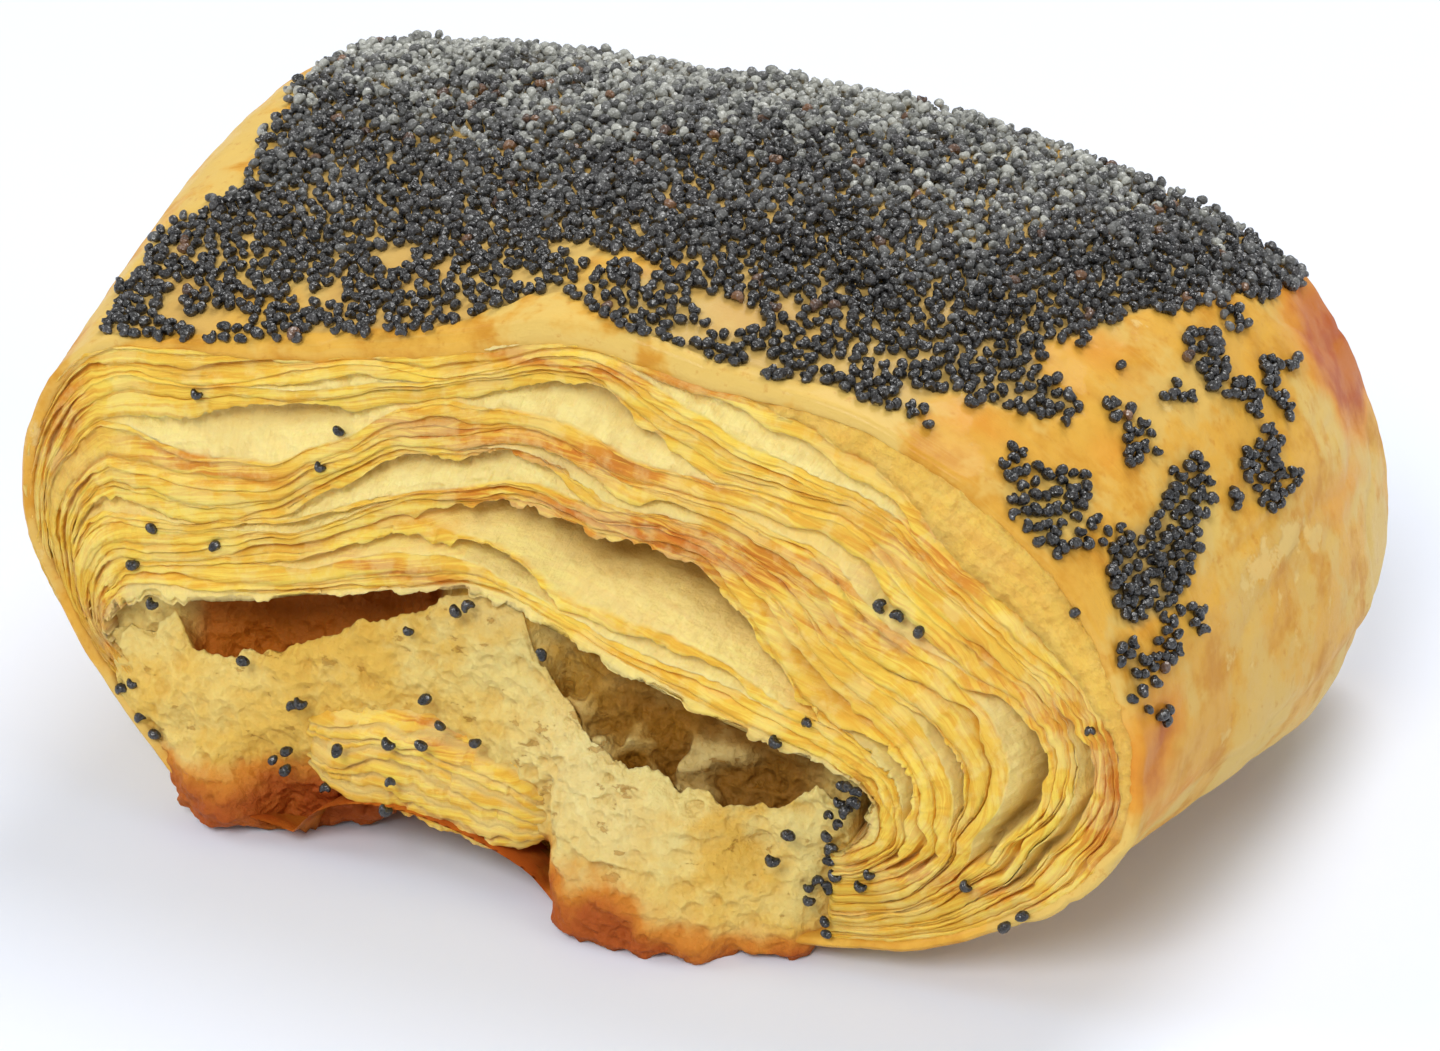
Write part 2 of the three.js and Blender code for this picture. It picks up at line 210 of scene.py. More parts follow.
def uneven(x, y, z):
    """Smooth noise between -1 and 1, one wave to the unit."""
    places = np.broadcast_arrays(x, y, z)
    cells = [np.floor(place).astype(int) for place in places]
    parts = [place - cell for place, cell in zip(places, cells)]
    eased = [part * part * (3 - 2 * part) for part in parts]
    total = np.zeros(places[0].shape)
    for corner in range(8):
        steps = [(corner >> axis) & 1 for axis in range(3)]
        weight = np.ones(places[0].shape)
        for step, part in zip(steps, eased):
            weight = weight * (part if step else 1 - part)
        total += weight * LATTICE[tuple((cell + step) % LATTICE_SIDE for cell, step in zip(cells, steps))]
    return 2 * total - 1


def rough(x, y, z, octaves=4):
    """Noise in several sizes, each half as long and half as strong as the last."""
    total = np.zeros(np.broadcast(x, y, z).shape)
    for octave in range(octaves):
        scale = 2.0 ** octave
        total += uneven(x * scale + 7 * octave, y * scale, z * scale) / scale
    return total


def ringed(noise, key, around, waves, depth, *octaves):
    """Noise over the way around a closed line, eased into its own beginning at the seam."""
    first = noise(key, around * waves, depth, *octaves)
    again = noise(key, (around - 1) * waves, depth, *octaves)
    return first + (again - first) * smooth(around, 0.955, 1)


def to_nearest_bubble(x, y, z):
    """Distance to the nearest of points scattered one to a unit cube."""
    place = np.stack(np.broadcast_arrays(x, y, z), -1)
    cell = np.floor(place).astype(int)
    nearest = np.full(place.shape[:-1], 9.0)
    for step in np.ndindex(3, 3, 3):
        beside = cell + np.array(step) - 1
        point = beside + SCATTER[tuple(np.moveaxis(beside % LATTICE_SIDE, -1, 0))]
        nearest = np.minimum(nearest, np.linalg.norm(point - place, axis=-1))
    return nearest


def closed_curve(corners, around):
    """Points of the smooth closed line through the corners, at shares of the way around it."""
    corners = np.array(corners, float)
    steps = (around % 1) * len(corners)
    first = np.floor(steps).astype(int)
    t = (steps - first)[..., None]
    p0, p1, p2, p3 = (corners[(first + k) % len(corners)] for k in (-1, 0, 1, 2))
    bent = 2 * p1 + (p2 - p0) * t + (2 * p0 - 5 * p1 + 4 * p2 - p3) * t ** 2
    return 0.5 * (bent + (3 * p1 - p0 - 3 * p2 + p3) * t ** 3)


def vault(x, y):
    """Height of the arch's ceiling under the front edge, and 0 beside the arch."""
    across = ((x - ARCH_MIDDLE[0]) / ARCH_HALF[0]) ** 2 + ((y - ARCH_MIDDLE[1]) / ARCH_HALF[1]) ** 2
    rise = ARCH_RISE * np.sqrt(np.clip(1 - across, 0, 1))
    arch = np.where(across < 1, rise + ARCH_TILT * (x - ARCH_MIDDLE[0]) * np.clip(1 - across, 0, 1), 0)
    middle_x, middle_y, half_x, half_y, side_rise = SIDE_ARCH
    beside = ((x - middle_x) / half_x) ** 2 + ((y - middle_y) / half_y) ** 2
    return np.maximum(arch, side_rise * np.sqrt(np.clip(1 - beside, 0, 1)))


def crust_point(around, along):
    """The plain form of the crust, as an array of x, y and z."""
    front, back = closed_curve(FRONT_OUTLINE, around), closed_curve(BACK_OUTLINE, around)
    mix = smooth(along, 0, 0.9)[..., None]
    x, z = np.moveaxis(front * (1 - mix) + back * mix, -1, 0)
    z = np.maximum(z, 0)
    swell = np.sin(np.pi * along)
    low = np.where(x > 0, np.clip(1 - z / 22, 0, 1), 0)
    x = x * (1 + (SIDE_SWELL + LOW_SWELL * low) * swell)
    z = z * (1 + (TOP_SWELL + 0.02 * np.clip((10 - x) / 50, 0, 1)) * swell)
    y = FACE_Y + FRONT_LEAN * z * (1 - along) + along * (DEPTH - SKEW * x) - BACK_LEAN * z * along
    return np.stack([x, y, z], -1)


def crust_out(around, along):
    """The direction that points straight out of the crust."""
    small = 0.004
    sideways = crust_point(around + small, along) - crust_point(around - small, along)
    lengthways = crust_point(around, along + small) - crust_point(around, along - small)
    out = np.cross(sideways, lengthways)
    return out / (np.linalg.norm(out, axis=-1, keepdims=True) + 1e-9)


# The seeded field: the shares around where it begins and ends at shares along, and the share along
# where it begins at shares around
SEEDS_LEFT = [(0, 0.352), (0.2, 0.342), (0.3, 0.357), (0.36, 0.374), (0.5, 0.368), (0.75, 0.362), (1, 0.352)]
SEEDS_RIGHT = [
    (0, 0.59), (0.15, 0.604), (0.24, 0.634), (0.3, 0.612), (0.45, 0.617), (0.6, 0.632), (0.8, 0.645),
    (1, 0.65),
]
SEEDS_BEGIN = [(0.34, 0), (0.44, 0), (0.465, 0.045), (0.49, 0.06), (0.515, 0.02), (0.56, 0.02), (0.6, 0.05)]
# Where the seeds lie thinner in it, on the crust's map, and by how much
SEEDS_THIN = [
    (0.505, 0.17, 0.02, 0.08, 0.2), (0.385, 0.2, 0.006, 0.07, 0.15), (0.40, 0.07, 0.012, 0.05, 0.15),
]
# Looser drifts of seeds down the folded side, on the crust's map, and how thick they lie
SEED_DRIFTS = [
    (0.652, 0.56, 0.013, 0.16, 0.6), (0.645, 0.36, 0.012, 0.09, 0.6), (0.672, 0.62, 0.012, 0.1, 0.4),
    (0.69, 0.5, 0.011, 0.12, 0.6), (0.676, 0.3, 0.014, 0.08, 0.65), (0.684, 0.16, 0.02, 0.12, 0.85),
    (0.645, 0.08, 0.016, 0.08, 0.55), (0.708, 0.13, 0.013, 0.09, 0.5), (0.7, 0.02, 0.016, 0.05, 0.7),
    (0.66, 0.2, 0.02, 0.05, 0.3), (0.724, 0.06, 0.012, 0.04, 0.3), (0.665, 0.42, 0.01, 0.06, 0.4),
]


def seed_cover(around, along):
    """How thick the poppy seeds lie on the crust, from 0 to 1, on its map of around and along."""
    u = around + 0.006 * uneven(around * 60, along * 9, 1.5) + 0.003 * uneven(around * 170, along * 26, 3.5)
    v = along + 0.03 * uneven(around * 50, along * 8, 4.5) + 0.02 * uneven(around * 150, along * 24, 6.5)
    left, right, rim = read_off(v, SEEDS_LEFT), read_off(v, SEEDS_RIGHT), read_off(around, SEEDS_BEGIN)
    cover = plateau(u, left - 0.006, left + 0.004, right - 0.004, right + 0.012)
    cover *= smooth(v, rim - 0.012, rim + 0.02)
    thin = 0.02 + 0.24 * (1 - smooth(v, 0.12, 0.45)) + mounds(u, v, SEEDS_THIN).sum(0)
    cover *= np.clip(1 - thin, 0, 1)
    for drift in SEED_DRIFTS:
        cover = np.maximum(cover, drift[4] * smooth(mound(u, v, drift), 0.12, 0.7))
    return cover


def thick_cover(around, along):
    """Where seeds lie on top of others."""
    heaped = smooth(uneven(around * 70, along * 14, 9.5), -0.3, 0.4)
    return smooth(seed_cover(around, along), 0.75, 1) * heaped


def flaked_crust(point, around):
    """How far the glazed skin has flaked off, from 0 to 1: most along the folded side."""
    x, y, z = np.moveaxis(point, -1, 0)
    side = plateau(around, 0.7, 0.72, 0.76, 0.8) * plateau(y, -22, -14, 6, 16)
    side = np.maximum(side, 0.5 * plateau(around, 0.6, 0.62, 0.66, 0.7))
    side = np.maximum(side, 0.6 * plateau(around, 0.08, 0.12, 0.3, 0.34))
    return np.clip(side * (0.8 + 0.5 * rough(x / 9, y / 9, z / 9, 2)), 0, 1)


# How high or deep the forms of the crust are, in millimetres
DENTS = 0.42
RIPPLES = 0.09
FLAKES = 0.12
FOLD_STEP = 0.7
CREASES = 0.22
BARE_COVER = 0.45  # the cover of seeds that bare crust is as low as
FOOT_HEIGHT = 2.5  # how far up from the table the forms fade in


def crust_relief(point, around, along):
    """How far the real crust stands out from its plain form, in millimetres."""
    x, y, z = np.moveaxis(point, -1, 0)
    relief = DENTS * rough(x / 13, y / 13, z / 13, 3) + RIPPLES * rough(x / 2.6, y / 3.4, z / 2.6, 3)
    relief -= FLAKES * flaked_crust(point, around) * smooth(rough(x / 4, y / 4, z / 4, 4), 0, 0.1)
    fold = smooth(around + 0.006 * uneven(along * 9, 2.5, 1.5), 0.782, 0.8)
    relief -= FOLD_STEP * fold * (1 - smooth(around, 0.86, 0.92))
    creases = 1 - np.abs(rough(x / 9, y / 16, z / 9 + 4, 2)) * 4
    relief -= CREASES * np.clip(creases, 0, 1) ** 2 * plateau(around, 0.62, 0.68, 0.9, 0.95)
    under_seeds = CRUST_UNDER_SEEDS * np.maximum(seed_cover(around, along), BARE_COVER)
    return (relief - under_seeds) * smooth(z, 0, FOOT_HEIGHT)


def topside(around):
    """1 along the top of the rim and 0 round its sides and underside."""
    return plateau(around, 0.385, 0.43, 0.54, 0.6)


def to_frame(points):
    """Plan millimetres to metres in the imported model's frame."""
    moved = np.array(points, float)
    moved[..., 0] -= ORIGIN[0]
    moved[..., 1] -= ORIGIN[1]
    return moved * MM


def placed_object(name, data):
    """A new object at the origin of the scene."""
    made = bpy.data.objects.new(name, data)
    bpy.context.scene.collection.objects.link(made)
    return made


def flat_grid(name, columns, rows, size):
    """A level grid, as a mesh."""
    sheet = bmesh.new()
    bmesh.ops.create_grid(sheet, x_segments=columns, y_segments=rows, size=size)
    mesh = bpy.data.meshes.new(name)
    sheet.to_mesh(mesh)
    sheet.free()
    return mesh


def add_mark(mesh, name, values):
    """A named value on each corner of a mesh, for its material."""
    held = mesh.attributes.new(name, "FLOAT", "POINT").data
    held.foreach_set("value", np.full(len(held), values, np.float32))


def finish_mesh(mesh):
    """Joins the seams of a piece, turns its faces outwards and shades it smooth."""
    shaped = bmesh.new()
    shaped.from_mesh(mesh)
    bmesh.ops.remove_doubles(shaped, verts=shaped.verts, dist=2e-6)
    bmesh.ops.dissolve_degenerate(shaped, dist=1e-7, edges=shaped.edges)
    bmesh.ops.recalc_face_normals(shaped, faces=shaped.faces)
    shaped.to_mesh(mesh)
    shaped.free()
    mesh.shade_smooth()


def grid_piece(name, columns, rows, shape):
    """A grid laid over a surface. shape takes each corner's share of the columns and rows, and
    gives its place, its map coordinates and its named marks."""
    mesh = flat_grid(name, columns, rows, 0.5)
    flat = np.empty(len(mesh.vertices) * 3)
    mesh.vertices.foreach_get("co", flat)
    across = np.round((flat[0::3] + 0.5) * columns) / columns
    down = np.round((flat[1::3] + 0.5) * rows) / rows
    points, chart, marks = shape(across, down)
    mesh.vertices.foreach_set("co", to_frame(points).ravel())
    corners = np.empty(len(mesh.loops), int)
    mesh.loops.foreach_get("vertex_index", corners)
    layer = mesh.uv_layers.new(name="UVMap")
    layer.data.foreach_set("uv", np.stack(chart, -1)[corners].ravel())
    for mark, values in marks.items():
        add_mark(mesh, mark, values)
    finish_mesh(mesh)
    return placed_object(name, mesh)


# The crust: top, sides and underside in one skin, rolled over a rim round each cut face
CRUST_AROUND = 440
CRUST_ALONG = 216
RIM_SHARE = 0.07  # share of the grid's rows that the rim and pocket of one end take
# Where the pocket behind each face closes, as x and z
FRONT_HUB = (-6, 15)
BACK_HUB = (0, 20)


def crust_shape(across, down):
    """The crust's corners: over its rim, along its length, and past each end into the pocket."""
    along = np.clip((down - RIM_SHARE) / (1 - 2 * RIM_SHARE), 0, 1)
    point = crust_point(across, along)
    out = crust_out(across, np.clip(along, 0.01, 0.99))
    relief = crust_relief(point, across, along)
    lip_round, lip_thick = (np.interp(topside(across), (0, 1), sizes) for sizes in (LIP_ROUND, LIP_THICK))
    for distance in (along * DEPTH, (1 - along) * DEPTH):
        near = np.clip(1 - distance / lip_round, 0, 1)
        relief = relief - lip_round * 0.75 * (1 - np.sqrt(1 - near ** 2))
    point = point + out * relief[:, None]
    pocketed = np.zeros(len(down))
    for hub_x, hub_z, inward in ((*FRONT_HUB, 1), (*BACK_HUB, -1)):
        past = np.clip((RIM_SHARE - (down if inward > 0 else 1 - down)) / RIM_SHARE, 0, 1)
        hub_y = FRONT_LEAN * hub_z + POCKET if inward > 0 else DEPTH - POCKET - 1
        hub = np.array([hub_x, FACE_Y + hub_y, hub_z])
        ray = hub - point
        ray[:, 1] = 0
        ray /= np.linalg.norm(ray, axis=1, keepdims=True)
        torn = 0.3 * rough(across * 150, 2.5, 7.5 * inward, 3) * smooth(past, 0.02, 0.2)
        rolled = point + ray * (lip_thick * smooth(past, 0, 0.3) + 0.3 * torn)[:, None]
        ragged = np.clip(0.25 + torn, 0, 1) * smooth(past, 0.05, 0.3)
        rolled[:, 1] += inward * (POCKET * smooth(past, 0.25, 0.6) + ragged)
        closing = smooth(past, 0.6, 1)[:, None]
        point = np.where((past > 0)[:, None], rolled * (1 - closing) + hub * closing, point)
        pocketed = np.maximum(pocketed, smooth(past, 0.2, 0.5))
    ceiling = vault(point[:, 0], point[:, 1])
    point[:, 2] = np.maximum(point[:, 2], ceiling)
    x, y, z = point.T
    uneven_edge = 0.35 * rough(x / 5, y / 5, z / 5, 4)
    brown = 1 - smooth(z + uneven_edge - ceiling * (ceiling > 0.05), 0.4, 2.2)
    patches = mounds(across, along, BROWNED_CRUST)
    brown = np.maximum(brown, (patches * smooth(patches + uneven_edge, 0.1, 0.75)).max(0))
    marks = {
        "brown": np.clip(brown, 0, 1),
        "flaked": flaked_crust(point, across),
        "pocket": pocketed,
        "seeded": seed_cover(across, along) * plateau(along, 0.01, 0.03, 0.965, 0.985),
    }
    return point, (across * 4, along), marks


# The cut faces: thin sheets of dough one inside another, each an edge with a gap behind it
TURN = np.linspace(0, 1, 721)  # shares of the way around at which a cut face is measured
NEAR_RIM = (0.005, 0.04, 0.08, 0.12)  # shares along the crust that the first sheet keeps clear of
OPENED = 0.3  # how deep a lens has to be for its sheet to be made of more rows
LENS_FULL = 0.5  # how deep a gap is that takes no further lens
PLAIN_GAP = 0.62  # the share of a plain sheet that its gap takes
THINNEST = 0.05
MOST_TAKEN = 0.72  # the most of a face's band that lenses and thick layers take


class CutFace:
    """One end of the pastry: its outline, its innermost sheet, and where its plane lies."""

    def __init__(self, outline, core, sheets, lenses, thick_layers, seed, front):
        self.outline, self.core, self.sheets, self.front = outline, core, sheets, front
        self.lenses, self.thick_layers, self.seed = lenses, thick_layers, seed
        self.known = {}
        near_rim = [np.full(len(TURN), share if front else 1 - share) for share in NEAR_RIM]
        self.begins = SHEETS_BEGIN - np.minimum.reduce([
            crust_relief(crust_point(TURN, along), TURN, along) for along in near_rim])

    def place(self, around, inward, depth):
        """A point of the face: inward 0 at the rim and 1 at the innermost sheet."""
        rim, core = closed_curve(self.outline, around), closed_curve(self.core, around)
        begin = np.interp(around % 1, TURN, self.begins) / np.linalg.norm(core - rim, axis=-1)
        inward = begin + (1 - begin) * inward
        x, z = np.moveaxis(rim + (core - rim) * inward[..., None], -1, 0)
        z = np.maximum(z, 0.05)
        if self.front:
            return np.stack([x, FACE_Y + FRONT_LEAN * z + depth, z], -1)
        return np.stack([x, FACE_Y + DEPTH - SKEW * x - BACK_LEAN * z - depth, z], -1)

    def band(self, around):
        """How far it is from the rim to the innermost sheet."""
        return np.linalg.norm(closed_curve(self.core, around) - closed_curve(self.outline, around), axis=-1)

    def find(self, x, z):
        """The shares around and inward of a point of the face."""
        around, inward = np.meshgrid(TURN[:-1], np.linspace(0, 1, 101))
        points = self.place(around, inward, np.zeros_like(around))
        miss = np.hypot(points[..., 0] - x, points[..., 2] - z)
        best = np.unravel_index(np.argmin(miss), miss.shape)
        return around[best], inward[best]

    def laid(self, columns):
        """lay_sheets for a whole turn of columns, worked out once."""
        if columns not in self.known:
            self.known[columns] = self.lay_sheets(warp_columns(np.arange(columns) / columns))
        return self.known[columns]

    def rows_of(self, sheet, columns):
        """The rows a sheet is made of: more where it opens to a lens."""
        return OPEN_ROWS if self.laid(columns)[3][sheet].max() > OPENED else TIGHT_ROWS

    def lay_sheets(self, around):
        """For each sheet and column: where it begins, how wide it is, the share of its gap, how deep
        and how pale the lens in the gap is, and how spongy its edge."""
        sheet = np.arange(self.sheets)[:, None]
        calm = 1 - 0.7 * smooth(around, 0.6, 0.66)
        plain = 0.12 + 1.4 * smooth(ringed(uneven, sheet * 7.31 + self.seed, around, 11, 0.5), -0.45, 0.9)
        plain = plain + 0.34 * calm * ringed(uneven, sheet * 3.7, around, 28, 2.5 + self.seed)
        plain = plain + 0.12 * calm * ringed(uneven, sheet * 2.9, around, 70, 6.5 + self.seed)
        plain = np.maximum(plain, THINNEST)
        plain /= plain.sum(0)
        open_share, thick_share, depth, pale = (np.zeros_like(plain) for _ in range(4))
        turn = np.append(around, around[:1] + 1)
        middle_line = closed_curve(self.core, turn) * 0.4 + closed_curve(self.outline, turn) * 0.6
        steps = np.linalg.norm(np.diff(middle_line, axis=0), axis=-1)
        travelled = np.concatenate([[0], np.cumsum(steps)[:-1]])

        def spot(x, z, half):
            """The sheet and column at a point of the face, and how near each column is to it."""
            u, t = self.find(x, z)
            column = int(np.argmin(np.abs(around - u)))
            k = int(np.clip(round(t * self.sheets - 0.7), 0, self.sheets - 1))
            return k, column, np.clip(1 - ((travelled - travelled[column]) / half) ** 2, 0, 1)

        for x, z, half, gape, deep, paleness in self.lenses:
            k, column, near = spot(x, z, half)
            while depth[k, column] > LENS_FULL and k < self.sheets - 1:
                k += 1
            shape = near ** 1.6
            open_share[k] += gape / self.band(around) * shape
            depth[k] += deep * shape ** 0.7
            pale[k] = np.maximum(pale[k], paleness * smooth(shape, 0, 0.35))
        for x, z, half, extra in self.thick_layers:
            k, _, near = spot(x, z, half)
            thick_share[k] += extra / self.band(around) * near ** 1.5
        taken = open_share.sum(0) + thick_share.sum(0)
        scale = np.minimum(1, MOST_TAKEN / np.maximum(taken, 1e-6))
        open_share, thick_share, taken = open_share * scale, thick_share * scale, taken * scale
        widths = plain * (1 - taken) + open_share + thick_share
        starts = np.cumsum(widths, 0) - widths
        gap = PLAIN_GAP * plain * (1 - taken) + open_share
        sponge = smooth(thick_share * self.band(around), 0.2, 0.9)
        return starts, widths, gap / widths, depth, pale, sponge


# Each row of a sheet: its share of the edge or of the gap, how deep it lies in the gap, how far it
# leans back as part of a step, and whether it is edge
EDGE_ROWS = [(0.0, 0, 0.9, True), (0.35, 0, 0.35, True), (0.72, 0, 0.0, True), (1.0, 0, 0.1, True)]
TIGHT_ROWS = EDGE_ROWS + [(0.0, 0.75, 0.2, False), (0.1, 1.0, 0.3, False), (0.5, 0.6, 0.6, False),
                          (0.84, 0.16, 0.8, False)]
OPEN_ROWS = EDGE_ROWS + [
    (-0.02, 0.7, 0.2, False), (0.03, 1.0, 0.2, False), (0.11, 1.0, 0.3, False), (0.21, 0.93, 0.3, False),
    (0.33, 0.8, 0.4, False), (0.45, 0.64, 0.5, False), (0.57, 0.47, 0.5, False), (0.69, 0.31, 0.6, False),
    (0.8, 0.19, 0.7, False), (0.89, 0.1, 0.8, False), (0.96, 0.03, 0.9, False),
]
MOST_ROWS = 78  # the most rows one piece holds
BEHIND_CRUMB = 4.4  # how much deeper the sheets lie behind the torn crumb
CURLED_SIDE = (30, 15, 11, 15)  # where the sheets of the folded side curl out
SHEET_SWAY = 0.45


def warp_columns(share):
    """Fewer columns along the underside and more over the rest."""
    return share + 0.45 * np.sin(2 * np.pi * share) / (2 * np.pi)


def sheets_shape(face, first, last, columns):
    """The number of rows and the shape of sheets first to last of a cut face, closed round the back
    as a ring."""
    seed = face.seed
    turns = warp_columns(np.arange(columns) / columns)
    starts, widths, gaps, lens_depth, pale, sponge = face.laid(columns)
    listed = [(sheet,) + row for sheet in range(first, last) for row in face.rows_of(sheet, columns)]
    ending = len(listed)
    listed += [(last - 1, 0.0, 0, 0.9, True)] * 3
    of_sheet, of_share, of_level, of_lean, of_edge = (np.array(values) for values in zip(*listed))

    def shape(across, down):
        column = np.round(across * columns).astype(int) % columns
        around = turns[column]
        row = np.round(down * len(listed)).astype(int) % len(listed)
        in_front, behind = row <= ending, row > ending
        sheet, share, level, is_edge = of_sheet[row], of_share[row], of_level[row], of_edge[row]
        start, width = starts[sheet, column], widths[sheet, column]
        open_here = smooth(lens_depth[sheet, column], 0.1, 1.2)
        crack = smooth(ringed(rough, sheet * 2.23, around, 26, 8.5 + seed, 3), 0.0, 0.75)
        parted = np.maximum(crack, open_here)
        gap = np.clip(gaps[sheet, column], 0, 0.97) * (0.26 + 0.74 * parted)
        inward = start + width * np.where(is_edge, share * (1 - gap), (1 - gap) + share * gap)
        inward = np.where(row == ending, start + width, inward)
        x_here, _, z_here = face.place(around, inward, np.zeros(len(row))).T
        curled = mound(x_here, z_here, CURLED_SIDE) if face.front else 0.2
        wave = 0.35 + 0.35 * ringed(uneven, sheet * 5.13 + seed, around, 16, 1.5)
        wave += (0.1 + 0.12 * curled) * ringed(uneven, sheet * 9.71, around, 60, 3.5 + seed)
        torn = 0.07 * uneven(sheet * 3.37, around * 240, 6.5 + seed)
        torn += 0.02 * uneven(sheet * 1.7, around * 800, 2.5)
        torn += 0.25 * open_here * smooth(uneven(sheet * 6.1 + seed, around * 200, 4.5), 0.1, 0.4)
        stepped = 0.1 + 0.4 * smooth(ringed(uneven, sheet * 4.3 + seed, around, 18, 5.5), -0.4, 0.8)
        edge_depth = np.clip(wave, 0.02, 2.4) + torn * np.where(is_edge, 1, np.clip(1 - level * 4, 0, 1))
        edge_depth += of_lean[row] * stepped
        edge_depth += 0.8 * topside(around) * (1 - smooth(inward * face.band(around), 0, 1.6))
        between = 0.06 + 0.5 * np.maximum(crack, 0.7 * open_here) + 0.6 * curled
        covered = plateau(x_here, -42, -39, 17, 19.5) * (1 - smooth(z_here, 9, 11.5))
        deep = between * np.clip(width * face.band(around) / 0.9, 0.3, 1.2) + lens_depth[sheet, column]
        depth = edge_depth + level * deep + (BEHIND_CRUMB * covered if face.front else 0)
        ragged = 0.06 * ringed(uneven, sheet * 4.4, around, 300, 5.5 + seed)
        innermost = np.where(sheet >= face.sheets - 1, 1.0, 0.0)
        frayed = np.clip((0.6 * open_here + 0.14 + 0.8 * innermost) * (1 - 0.7 * curled), 0, 0.9)
        ragged += frayed * (smooth(ringed(rough, sheet * 8.8, around, 75, 1.5 + seed, 5), -0.4, 0.8) - 0.5)
        lower_edge = np.where(is_edge, smooth(share, 0.3, 1), 1 - smooth(share, 0.02, 0.3)) + (row == ending)
        fringe = np.where(innermost > 0, smooth(level, 0.6, 0.1) * ~is_edge, 0)
        lower_edge = np.clip(np.maximum(lower_edge, fringe), 0, 1)
        inward = inward + ragged * lower_edge / face.band(around)
        back_end = np.where(row == ending + 1, starts[last - 1, column] + widths[last - 1, column],
                            starts[first, column])
        inward = np.where(behind, back_end, inward)
        depth = np.where(behind, POCKET - 0.6, depth)
        point = face.place(around, inward, depth)
        web = np.where(is_edge, 0, pale[sheet, column]) * in_front
        web = np.maximum(web, 0.7 * innermost * smooth(uneven(around * 40, 3.5, 2.5), -0.5, 0.2) * in_front)
        x, z = point[:, 0], point[:, 2]
        sway = np.clip(np.sin(np.pi * np.clip(inward, 0, 1)), 0, 1)
        point[:, 2] += SHEET_SWAY * sway * rough(x / 6, 1.5, z / 4 + sheet * 0.13, 3)
        inset = (0.24 * web + 0.12 + 0.2 * sponge[sheet, column]) * rough(x / 1.5, z / 1.1, 3.5 + sheet, 4)
        point[:, 1] += inset * (1 if face.front else -1) * in_front
        ceiling = vault(point[:, 0], point[:, 1])
        point[:, 2] = np.maximum(point[:, 2], ceiling)
        marks = {
            "gap": np.where(in_front, np.where(is_edge, 0, level * (0.1 + 0.9 * parted)), 1),
            "web": web,
            "toast": mounds(x, z, TOASTED_FACE if face.front else TOASTED_BACK).max(0),
            "sponge": np.where(is_edge, sponge[sheet, column], 0) * in_front,
            "shade": smooth(depth, 1.6, 5.5) * in_front * (1 - np.clip(covered, 0, 1)),
            "inside": behind,
        }
        return point, (around * 2.7, inward * 0.2), marks

    return len(listed), shape


def sheet_pieces(name, face, columns):
    """The sheets of a face, in pieces of no more than MOST_ROWS rows each."""
    pieces, first = [], 0
    while first < face.sheets:
        last, rows = first, 0
        while last < face.sheets and rows + len(face.rows_of(last, columns)) <= MOST_ROWS:
            rows += len(face.rows_of(last, columns))
            last += 1
        rows, shape = sheets_shape(face, first, last, columns)
        pieces.append(grid_piece(f"{name}_{len(pieces) + 1}", columns, rows, shape))
        first = last
    return pieces


# The torn crumb and its two baked feet, as a closed ring of rows swept from curl to curl
CRUMB_COLUMNS = 510
CRUMB_ROWS = 190
CRUMB_FRONT = (0.1, 0.62)  # the shares of a ring's rows at which its front begins and ends
CRUMB_REAR = 0.93  # and where the hollows end and the hidden back begins
CRUMB_HUB_Y = -19
# Where the feet are smoother and where the crumb is fluffiest: x, z, half width and half height
LEFT_FOOT = (-30, 2, 9, 6)
RIGHT_FOOT = (8, 0, 13, 5)
FLUFFIEST = (0, 10, 7, 7)


